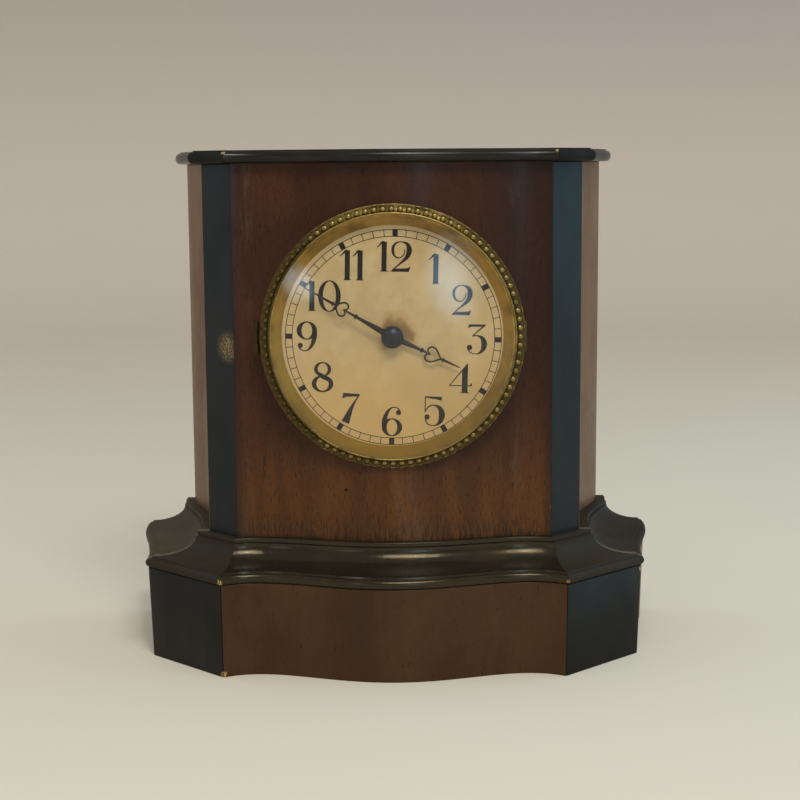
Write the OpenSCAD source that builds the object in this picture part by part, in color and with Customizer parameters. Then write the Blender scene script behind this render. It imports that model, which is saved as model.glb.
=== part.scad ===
// Table clock: serpentine veneered case, ebonised mouldings, beaded brass bezel, back-wound movement.
// Millimetres. The front faces -Y, +Z is up, and the origin is the middle of the footprint on the table.

/* [Case] */
// Height over the top moulding
clock_h = 256; // [252:1:262]
// Half width of the front panel, at its joint with the corner strip
case_fx = 78.2; // [77.5:0.1:79]
// Distance from the origin forward to the ends of the front panel
case_fy = 35; // [34.5:0.1:35.5]
// Bow of the front panel, ends to middle
case_bow = 10.5; // [10:0.1:11]
// Fraction of the half width at which the bow of the front panel turns into its hollow
case_turn = 0.72; // [0.68:0.01:0.8]
// Half width of the case at the back edge of the corner strip
case_sx = 94; // [93.5:0.1:94.5]
// Distance from the origin forward to the back edge of the corner strip
case_sy = 20; // [19.5:0.1:20.5]
// Swell of the side, from the corner strip to its fullest point
case_swell = 17.5; // [16:0.5:18]
// Thickness of the side panels
side_t = 8; // [7:0.5:9]
// Thickness of the corner strips
strip_t = 5; // [4.5:0.5:6]
// Thickness of the top board and height of its moulding
top_h = 6.4; // [6:0.1:7]
// Projection of the top moulding
top_out = 6.2; // [5:0.1:7]
// Thickness of the back board and back door
back_t = 7; // [6:0.5:8]

/* [Base] */
// Height of the plinth under the cove moulding
plinth_h = 46.3; // [45:0.1:47]
// Height of the cove moulding
cove_h = 18.7; // [18:0.1:20]
// Half width of the plinth front, at its joint with the corner facet
plinth_fx = 84.3; // [84:0.1:85]
// Distance from the origin forward to the ends of the plinth front
plinth_fy = 60.8; // [60.5:0.1:61.5]
// Bow of the plinth front
plinth_bow = 9.2; // [8.5:0.1:9.5]
// Fraction of the half width at which the bow of the plinth front turns into its hollow
plinth_turn = 0.49; // [0.46:0.01:0.55]
// Half width of the plinth at the back edge of the corner facet
plinth_sx = 125.5; // [125:0.1:126]
// Distance from the origin forward to the back edge of the corner facet
plinth_sy = 21; // [20.5:0.1:21.5]
// Swell of the plinth side
plinth_swell = 12; // [11:0.5:13]

// Share of the way out from case to plinth at which the faces stand on the table, as they lean in a little
plinth_foot = 0.95; // [0.94:0.01:1]

/* [Dial] */
// Height of the dial centre above the table
dial_z = 166; // [165:0.5:168]
// Outer radius of the bezel
bezel_r = 64.3; // [64:0.1:65]
// Radius of the dial that shows inside the reflector ring
sight_r = 53.6; // [53:0.1:54]
// Number of beads round the bezel
bead_n = 92; // [80:4:96]
// Time shown, hours on the dial
show_hour = 3; // [0:1:11]
// Time shown, minutes past the hour
show_minute = 50; // [0:1:59]

/* [Movement] */
// Radius of the two movement plates
plate_r = 50; // [49.5:0.1:50.5]
// Clear space between the two plates
plate_gap = 22; // [22:0.5:23]
// Teeth of the going barrel
barrel_teeth = 72; // [72:2:72]
// Teeth of the ratchet wheel on the winding arbor
ratchet_teeth = 24; // [24:4:24]

/* [Hidden] */
$fn = 64;

// Colours
veneer = "#4a2a1c";
side_veneer = "#5d3a28";
ebony = "#16181a";
pine = "#b08a5a";
brass = "#b08d4a";
steel = "#8b8f94";
blued = "#14161f";
cream = "#c9b48a";

// Clearances: round a turning piece, at the end of a knuckle, and the reach of a cutter past its piece
run_gap = 0.05;
end_play = 0.1;
past = 1;

// Heights
case_z = plinth_h;
cove_top = plinth_h + cove_h;
case_top = clock_h - top_h;

// Plan, as fractions of the way out from the case (0) to the plinth (1)
lip_out = 1.046;
face_in = 0.88;
knob_out = 5;
lip_y = plinth_fy + plinth_bow + (lip_out - 1) * (plinth_fy + plinth_bow - case_fy - case_bow);
back_y = lip_y - knob_out;
full_y = 63;
front_steps = 32;
side_steps = 16;

function mix(a, b, t) = a + (b - a) * t;
function serpentine(u, turn) = (1 - u * u) * (1 - u * u / (turn * turn));
function swell(y, y0, power) = (1 - cos(180 * pow(max(0, (y + y0) / (full_y + y0)), power))) / 2;
function case_front(u) = [u * case_fx, -case_fy - case_bow * serpentine(u, case_turn)];
function plinth_front_at(u) = [u * plinth_fx, -plinth_fy - plinth_bow * serpentine(u, plinth_turn)];
function top_front(u) = [u * (case_fx + 0.414 * top_out), case_front(u).y - top_out];
function case_side(y) = [case_sx + case_swell * swell(y, case_sy, 1.6), y];
function plinth_side(y) = [plinth_sx + plinth_swell * swell(y, plinth_sy, 1.2), y];
function along(y0, v) = mix(-y0, back_y, v);
function steps(n) = [for (i = [0:n]) i / n];
function front_run(a) = [for (s = steps(front_steps)) let(u = 2 * s - 1)
    a == "cove" ? [case_front(u), plinth_front_at(u)] : [case_front(u), top_front(u)]];
function cove_side_run() = [for (v = steps(side_steps))
    [case_side(along(case_sy, v)), plinth_side(along(plinth_sy, v))]];
function top_side_run() = [for (v = steps(side_steps))
    let(p = case_side(along(case_sy, v)), q = case_side(along(case_sy + 0.414 * top_out, v)))
    [p, [q.x + top_out, q.y]]];
function cove_corner_run() = [[case_front(1), plinth_front_at(1)],
    [case_side(-case_sy), plinth_side(-plinth_sy)]];
function top_corner_run() = [[case_front(1), top_front(1)],
    [case_side(-case_sy), [case_sx + top_out, -case_sy - 0.414 * top_out]]];
function flip(points) = [for (i = [len(points) - 1:-1:0]) points[i]];
function left(points) = [for (p = points) [-p.x, p.y]];
function morph(run, t) = [for (s = run) mix(s[0], s[1], t)];
function outline(front, side, t) = let(s = morph(side, t)) concat(morph(front, t), s, left(flip(s)));

// Profiles of the mouldings as [fraction outward, height]
fillet_out = 0.19;
cove_start = 0.22;
cove_end = 0.93;
nose_out = 0.09;
cove_profile = concat(
    [[0, plinth_h], [0, cove_top], [fillet_out, cove_top], [fillet_out, cove_top - 2.3]],
    [for (i = [0:8]) let(a = i * 90 / 8)
        [cove_end - (cove_end - cove_start) * cos(a), cove_top - 2.6 - (cove_h - 8.4) * sin(a)]],
    [[0.945, plinth_h + 5.2]],
    [for (i = [0:5]) let(a = 75 - i * 150 / 5)
        [lip_out - nose_out + nose_out * cos(a), plinth_h + 2.5 + 2.4 * sin(a)]],
    [[0.97, plinth_h]]);
top_profile = concat(
    [[0, case_top], [0, clock_h], [0.6, clock_h], [0.6, clock_h - 0.5]],
    [for (i = [0:6]) let(a = 84 - i * 168 / 6) [0.62 + 0.38 * cos(a), case_top + 2.9 + 2.8 * sin(a)]],
    [[0.4, case_top]]);

// Dial stack along Y, from front to back
pan_y = -(case_fy + case_bow + 0.8);
dial_face = pan_y + 3.6;
dial_t = 1.2;
pan_floor = dial_face + dial_t;
front_plate_y = pan_floor + 8.5;
plate_t = 2;
back_plate_y = front_plate_y + plate_t + plate_gap;
rear_y = back_plate_y + plate_t;
pan_r = 63.6;
pan_back = -case_fy + 2;
movement_hole = 52;
panel_back = -case_fy + 10;
hour_angle = 30 * show_hour + show_minute / 2;
minute_angle = 6 * show_minute;

// Train: modules, teeth and the places of the arbors, seen from the front
m_barrel = 0.6;
m_centre = 0.55;
m_third = 0.5;
m_fourth = 0.42;
m_motion = 0.5;
m_hour = 0.48;
centre_pinion = 10;
leaves = 8;
centre_teeth = 64;
third_teeth = 60;
fourth_teeth = 64;
escape_teeth = 15;
cannon_teeth = 12;
minute_teeth = 36;
minute_pinion = 10;
hour_teeth = 40;
function polar(r, a) = [r * cos(a), r * sin(a)];
function between(p, q) = atan2(q.y - p.y, q.x - p.x);
centre_at = [0, 0];
barrel_at = polar(m_barrel * (barrel_teeth + centre_pinion) / 2, -90);
third_at = polar(m_centre * (centre_teeth + leaves) / 2, 60);
fourth_at = third_at + polar(m_third * (third_teeth + leaves) / 2, 170);
escape_at = fourth_at + polar(m_fourth * (fourth_teeth + leaves) / 2, 200);
lever_dir = 215;
lever_at = escape_at + polar(13, lever_dir);
fork_dir = 250;
balance_at = lever_at + polar(12, fork_dir);
minute_at = polar(m_motion * (cannon_teeth + minute_teeth) / 2, 20);
pillar_r = 45;
quarters = [45, 135, 225, 315];

// Levels of the train along Y
barrel_y = front_plate_y + plate_t + 1.5;
centre_wheel_y = back_plate_y - 2;
third_wheel_y = back_plate_y - 9;
fourth_wheel_y = front_plate_y + plate_t + 3.2;
escape_wheel_y = front_plate_y + plate_t + 8;
setting_y = rear_y + 12;
wheel_t = 1.2;
pinion_h = 3.4;

// Turns a drawing in the XY plane to face the front, with its back at depth y on the arbor at p
module on_arbor(p, y) {
    translate([p.x, y, dial_z + p.y]) rotate([90, 0, 0]) children();
}

// A round piece between two depths on the arbor at p
module rod(p, y0, y1, r) {
    on_arbor(p, y1) cylinder(h = y1 - y0, r = r);
}

// Toothed wheel outline, one tooth centred on the direction phase
module teeth(n, m, phase, up = 0.85, down = 1.25, width = 0.44) {
    r = m * n / 2;
    pitch = 360 / n;
    polygon([for (i = [0:n - 1]) for (q = [[-0.5, -down], [-width / 2, -down * 0.7], [-width / 2, 0],
        [-width * 0.33, up * 0.65], [0, up], [width * 0.33, up * 0.65], [width / 2, 0],
        [width / 2, -down * 0.7]])
        polar(r + m * q.y, phase + pitch * (i + q.x))]);
}

// Wheel with a rim, spokes and a hub bore
module wheel(n, m, phase, bore, spokes = 4, rim = 2.4, up = 0.85) {
    r = m * n / 2 - 1.25 * m - rim;
    hub = max(bore + 1.8, 3);
    linear_extrude(wheel_t) difference() {
        teeth(n, m, phase, up);
        difference() {
            circle(r);
            circle(hub);
            for (i = [0:spokes - 1]) rotate(phase + i * 360 / spokes)
                translate([0, -0.9]) square([r + 1, 1.8]);
        }
        circle(bore);
    }
}

// Pinion with its leaves and a gap centred on the direction facing
module pinion(n, m, facing, h) {
    linear_extrude(h) teeth(n, m, facing + 180 / n, 0.5, 1.2, 0.36);
}

// Carries a closed profile along a run of plan stations
module moulding(run, profile) {
    n = len(run);
    m = len(profile);
    points = [for (s = run) for (q = profile)
        [mix(s[0].x, s[1].x, q[0]), mix(s[0].y, s[1].y, q[0]), q[1]]];
    sides = [for (i = [0:n - 2]) for (j = [0:m - 1]) let(k = (j + 1) % m)
        each [[i * m + j, (i + 1) * m + j, (i + 1) * m + k], [i * m + j, (i + 1) * m + k, i * m + k]]];
    ends = [[for (j = [0:m - 1]) j], [for (j = [m - 1:-1:0]) (n - 1) * m + j]];
    polyhedron(points, concat(sides, ends), convexity = 6);
}

// Inner corners of the case, where strip, panels and post meet
cant = case_side(-case_sy) - case_front(1);
cant_in = strip_t * [-cant.y, cant.x] / norm(cant);
strip_front = case_front(1) + cant_in;
strip_back = case_side(-case_sy) + cant_in;

// Carcass of the plinth: a frame round an open middle, and the board that carries the case
rail_t = 12;
base_board_t = 6;
frame_side_x = 100;
frame_cant = [68, -case_fy - 10];
frame_cant_back = -case_sy + 3;
module plinth_frame() {
    inner = [frame_cant, [frame_side_x, frame_cant_back], [frame_side_x, back_y - rail_t]];
    color(pine) linear_extrude(plinth_h - base_board_t) difference() {
        polygon(outline(front_run("cove"), cove_side_run(), face_in));
        polygon(concat(inner, left(flip(inner))));
    }
}

module plinth_top_board() {
    color(pine) translate([0, 0, plinth_h - base_board_t]) linear_extrude(base_board_t)
        polygon(outline(front_run("cove"), cove_side_run(), face_in));
}

// Face of the plinth along one run of its plan, leaning in towards its foot
module plinth_face(run) {
    moulding(run, [[face_in, 0], [face_in, plinth_h], [1, plinth_h], [plinth_foot, 0]]);
}

module plinth_front() {
    color(veneer) plinth_face(front_run("cove"));
}

module plinth_side_right() {
    color(side_veneer) plinth_face(cove_side_run());
}

module plinth_side_left() {
    mirror([1, 0, 0]) plinth_side_right();
}

module plinth_facets() {
    color(ebony) for (s = [0, 1]) mirror([s, 0, 0]) plinth_face(cove_corner_run());
}

module cove_front() {
    color(ebony) moulding(front_run("cove"), cove_profile);
}

module cove_right() {
    color(ebony) moulding(cove_side_run(), cove_profile);
}

module cove_left() {
    mirror([1, 0, 0]) cove_right();
}

module cove_corners() {
    color(ebony) for (s = [0, 1]) mirror([s, 0, 0]) moulding(cove_corner_run(), cove_profile);
}

module front_panel() {
    color(veneer) difference() {
        translate([0, 0, case_z]) linear_extrude(case_top - case_z)
            polygon(concat(morph(front_run("cove"), 0), [strip_front, [strip_front.x, panel_back],
                [-strip_front.x, panel_back], [-strip_front.x, strip_front.y]]));
        rod(centre_at, pan_y - past, pan_back, pan_r + end_play);
        rod(centre_at, pan_y - past, panel_back + past, movement_hole);
    }
}

module side_panel_right() {
    outer = morph(cove_side_run(), 0);
    inner = [for (p = outer) if (p.y > strip_back.y) [p.x - side_t, p.y]];
    color(side_veneer) translate([0, 0, case_z]) linear_extrude(case_top - case_z)
        polygon(concat(outer, flip(inner), [[case_sx - side_t, strip_back.y], strip_back]));
}

module side_panel_left() {
    mirror([1, 0, 0]) side_panel_right();
}

module corner_strip_right() {
    color(ebony) translate([0, 0, case_z]) linear_extrude(case_top - case_z)
        polygon([case_front(1), case_side(-case_sy), strip_back, strip_front]);
}

module corner_strip_left() {
    mirror([1, 0, 0]) corner_strip_right();
}

post_depth = 6;
post_foot = 5;
module corner_posts() {
    x = case_sx - side_t;
    color(pine) for (s = [0, 1]) mirror([s, 0, 0]) translate([0, 0, case_z])
        linear_extrude(case_top - case_z)
        polygon([strip_front, strip_back, [x, strip_back.y], [x, strip_back.y + post_depth],
            [strip_front.x - post_foot, panel_back], [strip_front.x, panel_back]]);
}

module top_board() {
    color(ebony) translate([0, 0, case_top]) linear_extrude(top_h)
        polygon(outline(front_run("top"), top_side_run(), 0));
}

module top_moulding_front() {
    color(ebony) moulding(front_run("top"), top_profile);
}

module top_moulding_right() {
    color(ebony) moulding(top_side_run(), top_profile);
}

module top_moulding_left() {
    mirror([1, 0, 0]) top_moulding_right();
}

module top_moulding_corners() {
    color(ebony) for (s = [0, 1]) mirror([s, 0, 0]) moulding(top_corner_run(), top_profile);
}

// Back of the case: the door with its hinges, knob and turn button
door_w = 110;
door_z0 = 82;
door_z1 = 236;
door_mid = (door_z0 + door_z1) / 2;
door_gap = 0.35;
hinge_h = 20;
hinge_zs = [104, 198];
knuckle_r = 1.5;
knuckle_h = 6;
knuckle_at = [door_w / 2, back_y + knuckle_r + run_gap];
leaf_t = 0.8;
leaf_w = 11;
leaf_clear = 2.2;
pin_r = 0.6;

module back_board() {
    inside = [for (p = morph(cove_side_run(), 0)) [p.x - side_t, p.y]];
    inner = [for (p = inside) if (p.y > back_y - back_t) p];
    x0 = lookup(back_y - back_t, [for (p = inside) [p.y, p.x]]);
    color(pine) difference() {
        translate([0, 0, case_z]) linear_extrude(case_top - case_z)
            polygon(concat([[x0, back_y - back_t]], inner, left(flip(inner)), [[-x0, back_y - back_t]]));
        translate([-door_w / 2, back_y - back_t - past, door_z0])
            cube([door_w, back_t + 2 * past, door_z1 - door_z0]);
    }
}

module back_door() {
    color(side_veneer) translate([-door_w / 2 + 2 * door_gap, back_y - back_t, door_z0 + door_gap])
        cube([door_w - 3 * door_gap, back_t, door_z1 - door_z0 - 2 * door_gap]);
}

// Fixed leaves, their knuckles and the pins, one set at each height
module door_hinges() {
    color(brass) for (z = hinge_zs) translate([knuckle_at.x, knuckle_at.y, z]) {
        cylinder(h = hinge_h, r = pin_r);
        for (k = [0, hinge_h - knuckle_h]) translate([0, 0, k]) {
            cylinder(h = knuckle_h, r = knuckle_r);
            translate([0, -knuckle_r - run_gap, 0]) cube([leaf_w, leaf_t, knuckle_h]);
        }
        translate([leaf_clear, -knuckle_r - run_gap, 0]) cube([leaf_w - leaf_clear, leaf_t, hinge_h]);
    }
}

module door_hinge_leaves() {
    h = hinge_h - 2 * knuckle_h - 2 * end_play;
    color(brass) for (z = hinge_zs) translate([knuckle_at.x, knuckle_at.y, z]) {
        difference() {
            union() {
                translate([0, 0, knuckle_h + end_play]) cylinder(h = h, r = knuckle_r);
                translate([-leaf_w, -knuckle_r - run_gap, knuckle_h + end_play]) cube([leaf_w, leaf_t, h]);
            }
            translate([0, 0, knuckle_h - past]) cylinder(h = h + 2 * past, r = pin_r + run_gap);
        }
        translate([-leaf_w, -knuckle_r - run_gap, 0]) cube([leaf_w - leaf_clear, leaf_t, hinge_h]);
    }
}

knob_r = 3.2;
knob_neck = 1.6;
rose_r = 4;
rose_t = 0.6;
module door_knob() {
    color(brass) translate([-door_w / 2 + 19, back_y, door_mid]) rotate([-90, 0, 0]) {
        cylinder(h = knob_out - knob_r + rose_t, r = knob_neck);
        cylinder(h = rose_t, r = rose_r);
        intersection() {
            translate([0, 0, knob_out - knob_r]) sphere(r = knob_r);
            translate([0, 0, 0.5]) cylinder(h = knob_out, r = rose_r);
        }
    }
}

catch_x = -door_w / 2 - 5;
catch_w = 6;
catch_reach = 11;
catch_t = 1.4;
screw_r = 1.5;
module door_catch() {
    color(brass) translate([catch_x, back_y + run_gap, door_mid]) rotate([-90, 0, 0])
        rotate(-90) linear_extrude(catch_t) difference() {
            union() {
                circle(catch_w / 2 + 0.5);
                translate([0, -catch_w / 2]) square([catch_reach, catch_w]);
                translate([catch_reach, 0]) circle(catch_w / 2);
            }
            circle(screw_r + run_gap);
        }
}

// Screw of the turn button and the four small screws that hold the dial in its pan
module case_screws() {
    color(brass) {
        translate([catch_x, back_y, door_mid]) rotate([-90, 0, 0]) {
            cylinder(h = catch_t + 0.15, r = screw_r);
            translate([0, 0, catch_t + 0.1]) cylinder(h = 0.9, r = 2.8);
        }
        for (a = quarters) rod(polar(57.5, a), dial_face - 1.1, dial_face, 1.6);
    }
}

// Brass pan let into the front panel, with three feet that carry the movement
pan_wall = 2.8;
pan_t = 1.2;
module dial_pan() {
    color(brass) {
        difference() {
            rod(centre_at, pan_y, pan_back, pan_r);
            rod(centre_at, pan_y - past, pan_floor, pan_r - pan_wall);
            rod(centre_at, pan_floor + pan_t, pan_back + past, movement_hole - 0.5);
            rod(centre_at, pan_floor - past, pan_floor + pan_t + past, 6);
        }
        for (a = [90, 210, 330]) rod(polar(40, a), pan_floor + pan_t - end_play, front_plate_y, 2.5);
    }
}

module dial() {
    color(cream) difference() {
        rod(centre_at, dial_face, pan_floor, pan_r - 5);
        rod(centre_at, dial_face - past, pan_floor + past, 4.2);
    }
}

// Bezel: heights here run forward from the front of the pan
bezel_y = pan_y - run_gap;
bezel_in = 59.2;
flange_t = 2.6;
bezel_h = 5.8;
bead_ring = 61.6;
bead_r = 1.5;
tab_h = 15;
tab_w = 1.8;
module bezel() {
    color(brass) {
        on_arbor(centre_at, bezel_y) {
            rotate_extrude($fn = 180) polygon([[bezel_in, 0], [bezel_r, 0], [bezel_r, flange_t - 0.7],
                [bezel_r - 0.7, flange_t], [bezel_in + 1, flange_t], [bezel_in + 1, bezel_h - 0.6],
                [bezel_in + 0.4, bezel_h], [bezel_in, bezel_h]]);
            for (i = [0:bead_n - 1]) rotate(i * 360 / bead_n) translate([bead_ring, 0, flange_t + 0.15])
                sphere(r = bead_r, $fn = 24);
        }
        bezel_knuckle();
        translate([bezel_r - 0.6, bezel_y - tab_w, dial_z - tab_h / 2]) cube([tab_w, tab_w, tab_h]);
    }
}

// Hinge of the bezel, at nine o'clock
hinge_r = 1.4;
hinge_len = 16;
hinge_mid = 6;
hinge_x = -(bezel_r + hinge_r + 0.15);
module bezel_knuckle() {
    translate([hinge_x, bezel_y, dial_z - hinge_mid / 2]) difference() {
        union() {
            cylinder(h = hinge_mid, r = hinge_r);
            translate([0, -1.2, 0]) cube([3.4, 1.2, hinge_mid]);
        }
        translate([0, 0, -past]) cylinder(h = hinge_mid + 2 * past, r = pin_r + run_gap);
    }
}

module bezel_hinge() {
    end_len = (hinge_len - hinge_mid) / 2 - end_play;
    color(brass) difference() {
        translate([hinge_x, bezel_y, dial_z]) {
            translate([0, 0, -hinge_len / 2]) cylinder(h = hinge_len, r = pin_r);
            for (z = [-hinge_len / 2, hinge_len / 2 - end_len]) translate([0, 0, z]) {
                cylinder(h = end_len, r = hinge_r);
                translate([0, run_gap, 0]) cube([4, 1.3, end_len]);
            }
        }
        rod(centre_at, bezel_y - bezel_h, pan_back, pan_r);
    }
}

// Sloping ring between the glass and the dial
ring_r = bezel_in - run_gap;
ring_t = 0.8;
module reflector_ring() {
    color(brass) on_arbor(centre_at, bezel_y) rotate_extrude($fn = 180)
        polygon([[ring_r, 0.2], [ring_r, 4.4], [ring_r - ring_t, 4.4], [sight_r, -2.9],
            [sight_r + ring_t, -2.9]]);
}

glass_rise = 8;
glass_r = bezel_in - end_play;
glass_h = 4.45;
glass_t = 1.3;
glass_sphere = (glass_r * glass_r + glass_rise * glass_rise) / (2 * glass_rise);
module glass() {
    color("lightcyan", 0.3) on_arbor(centre_at, bezel_y - glass_h) rotate_extrude($fn = 180)
        difference() {
            intersection() {
                translate([0, glass_rise + glass_t - glass_sphere]) circle(glass_sphere, $fn = 360);
                square([glass_r, 20]);
            }
            translate([0, glass_rise - glass_sphere]) circle(glass_sphere, $fn = 360);
            translate([-20, -20]) square([20, 60]);
        }
}

// Heart outline of half width 1, lobes at y = 0 and its point at y = 1.8
function heart(w, h, grow) = [for (i = [0:35]) let(a = i * 10, s = sin(a))
    [(w + grow) * s * s * s, h * 0.5 + (h / 2 + grow) * (-13 * cos(a) + 5 * cos(2 * a) + 2 * cos(3 * a)
        + cos(4 * a) - 2.5) / 14.5]];

// Hand pointing to twelve: base and stem widths, places of knob, heart and tip
module hand(length, knob, heart_y, heart_w, heart_h, bore, boss) {
    difference() {
        union() {
            circle(boss);
            polygon([[-1.7, 0], [1.7, 0], [0.55, knob], [0.45, heart_y + 0.27 * heart_h],
                [-0.45, heart_y + 0.27 * heart_h], [-0.55, knob]]);
            translate([0, knob]) circle(1.3);
            translate([0, heart_y]) difference() {
                polygon(heart(heart_w, heart_h, 0));
                polygon(heart(heart_w, heart_h, -0.85));
            }
            translate([0, heart_y + heart_h + 0.9]) polygon([[-1.4, 0], [0, -1.6], [1.4, 0], [0, 1.6]]);
            polygon([[-0.7, heart_y + heart_h], [0.7, heart_y + heart_h], [0.25, length], [-0.25, length]]);
        }
        circle(bore);
    }
}

// Stack of pipes at the centre, each turning on the one inside it
hand_t = 0.7;
hour_hand_y = dial_face - 2.2;
minute_hand_y = hour_hand_y - 2.4;
arbor_r = 1.5;
cannon_r = 2.5;
hour_pipe_r = 3.5;
nut_y = minute_hand_y - hand_t;
nut_r = 5.4;
nut_dome_r = 6.9;
nut_drop = 4.2;
nut_bore = 1.2;

module hour_hand() {
    color(blued) on_arbor(centre_at, hour_hand_y) rotate(-hour_angle)
        linear_extrude(hand_t) hand(36, 15.6, 18.2, 4.1, 8.2, hour_pipe_r, 5.6);
}

module minute_hand() {
    color(blued) on_arbor(centre_at, minute_hand_y) rotate(-minute_angle)
        linear_extrude(hand_t) hand(49, 20.2, 25.4, 3.8, 6.8, cannon_r, 4.8);
}

// Domed nut that holds the minute hand
module hand_nut() {
    color(blued) on_arbor(centre_at, nut_y) difference() {
        intersection() {
            translate([0, 0, -nut_drop]) sphere(r = nut_dome_r);
            cylinder(h = nut_dome_r, r = nut_r);
        }
        translate([0, 0, -past]) cylinder(h = nut_bore + past, r = arbor_r);
    }
}

module centre_arbor() {
    color(steel) {
        rod(centre_at, nut_y - nut_bore, setting_y, arbor_r);
        on_arbor(centre_at, barrel_y + 3.6)
            pinion(centre_pinion, m_barrel, between(centre_at, barrel_at), 4.2);
    }
}

module centre_wheel() {
    color(brass) on_arbor(centre_at, centre_wheel_y)
        wheel(centre_teeth, m_centre, between(centre_at, third_at), arbor_r);
}

module setting_knob() {
    color(brass) on_arbor(centre_at, setting_y) difference() {
        union() {
            linear_extrude(4) teeth(36, 0.34, 0, 0.6, 0.9, 0.5);
            cylinder(h = 8, r = 3);
        }
        translate([0, 0, -past]) cylinder(h = 8 + 2 * past, r = arbor_r);
    }
}

motion_y = front_plate_y - 1;
module cannon_pinion() {
    color(steel) difference() {
        union() {
            rod(centre_at, nut_y, motion_y + 0.4, cannon_r);
            on_arbor(centre_at, motion_y)
                linear_extrude(1.6) teeth(cannon_teeth, m_motion, between(centre_at, minute_at), 0.7);
        }
        rod(centre_at, nut_y - past, front_plate_y, arbor_r);
    }
}

stud_r = 1;
module minute_wheel() {
    back = between(minute_at, centre_at);
    color(brass) {
        on_arbor(minute_at, motion_y)
            wheel(minute_teeth, m_motion, back + 180 / minute_teeth, stud_r + run_gap, 4, 2, 0.6);
        difference() {
            on_arbor(minute_at, motion_y - wheel_t + 0.01) pinion(minute_pinion, m_hour, back, 2.2);
            rod(minute_at, pan_floor, front_plate_y, stud_r + run_gap);
        }
    }
}

hour_y = motion_y - 2;
module hour_wheel() {
    color(brass) difference() {
        union() {
            on_arbor(centre_at, hour_y)
                wheel(hour_teeth, m_hour, between(centre_at, minute_at), 2, 4, 2, 0.7);
            rod(centre_at, hour_hand_y - hand_t, hour_y, hour_pipe_r);
        }
        rod(centre_at, hour_hand_y - hand_t - past, front_plate_y, cannon_r + run_gap);
    }
}

// Bore or pivot places shared by both plates
wheel_pivot = 0.7;
escape_pivot = 0.6;
staff_r = 0.5;
winding_r = 2.2;
function pivots() = [[centre_at, arbor_r], [third_at, wheel_pivot], [fourth_at, wheel_pivot],
    [escape_at, escape_pivot], [lever_at, escape_pivot], [balance_at, staff_r], [barrel_at, winding_r]];

module front_plate() {
    color(brass) {
        difference() {
            rod(centre_at, front_plate_y, front_plate_y + plate_t, plate_r);
            for (p = pivots())
                rod(p[0], front_plate_y - past, front_plate_y + plate_t + past, p[1] + run_gap);
        }
        rod(minute_at, pan_floor + 2.6, front_plate_y, stud_r);
        for (a = quarters)
            rod(polar(pillar_r, a), front_plate_y + plate_t, back_plate_y, 2.6);
    }
}

module back_plate() {
    color(brass) difference() {
        rod(centre_at, back_plate_y, rear_y, plate_r);
        for (p = pivots()) rod(p[0], back_plate_y - past, rear_y + past, p[1] + run_gap);
    }
}

module plate_screws() {
    color(blued) {
        for (a = quarters) difference() {
            rod(polar(pillar_r, a), rear_y, rear_y + 1.6, 3);
            on_arbor(polar(pillar_r, a), rear_y + 1.6 + past) translate([-4, -0.4, 0])
                cube([8, 0.8, 0.6 + past]);
        }
        rod(click_pivot, rear_y, click_y + 0.7, click_screw_r);
        rod(click_pivot, click_y + run_gap, click_y + 0.8, 2);
    }
}

// Going barrel: toothed drum with its wall and cap, hollow for the spring
barrel_h = 15;
barrel_wall_r = 20;
barrel_cap = 1.3;
core_r = 2.6;
module barrel() {
    color(brass) difference() {
        union() {
            on_arbor(barrel_at, barrel_y + 2.6)
                linear_extrude(2.6) teeth(barrel_teeth, m_barrel, between(barrel_at, centre_at));
            rod(barrel_at, barrel_y, barrel_y + barrel_h, barrel_wall_r);
        }
        rod(barrel_at, barrel_y + barrel_cap, barrel_y + barrel_h - barrel_cap, barrel_wall_r - 1.2);
        rod(barrel_at, barrel_y - past, barrel_y + barrel_h + past, core_r + run_gap);
    }
}

// Spring strip wound against the barrel wall
spring_turns = 9;
spring_out = barrel_wall_r - 1.3;
spring_pitch = 0.9;
spring_t = 0.35;
spring_play = barrel_cap + 0.3;
function spiral(r, pitch, turns, t) = let(ticks = [for (i = [0:turns * 24]) i * 15])
    concat([for (a = ticks) polar(r + pitch * a / 360, a)],
        [for (a = flip(ticks)) polar(r - t + pitch * a / 360, a)]);
module mainspring() {
    color(steel) on_arbor(barrel_at, barrel_y + barrel_h - spring_play)
        linear_extrude(barrel_h - 2 * spring_play)
        polygon(spiral(spring_out, -spring_pitch, spring_turns, spring_t));
}

ratchet_r = 10.5;
ratchet_y = rear_y + 0.4;
square_end = rear_y + 20;
square_w = 4;
module winding_arbor() {
    step = 360 / ratchet_teeth;
    color(steel) {
        rod(barrel_at, front_plate_y + 0.2, ratchet_y + 0.2, winding_r);
        rod(barrel_at, barrel_y + end_play, barrel_y + barrel_h - end_play, core_r);
        rod(barrel_at, barrel_y + 1.5, barrel_y + barrel_h - 1.5, 6);
        on_arbor(barrel_at, ratchet_y + 1.6) linear_extrude(1.6)
            polygon([for (i = [0:ratchet_teeth - 1]) each
                [polar(ratchet_r, i * step), polar(ratchet_r - 1.5, i * step + 1.5)]]);
        on_arbor(barrel_at, square_end) translate([-square_w / 2, -square_w / 2, 0])
            cube([square_w, square_w, square_end - ratchet_y - 1.4]);
    }
}

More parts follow.
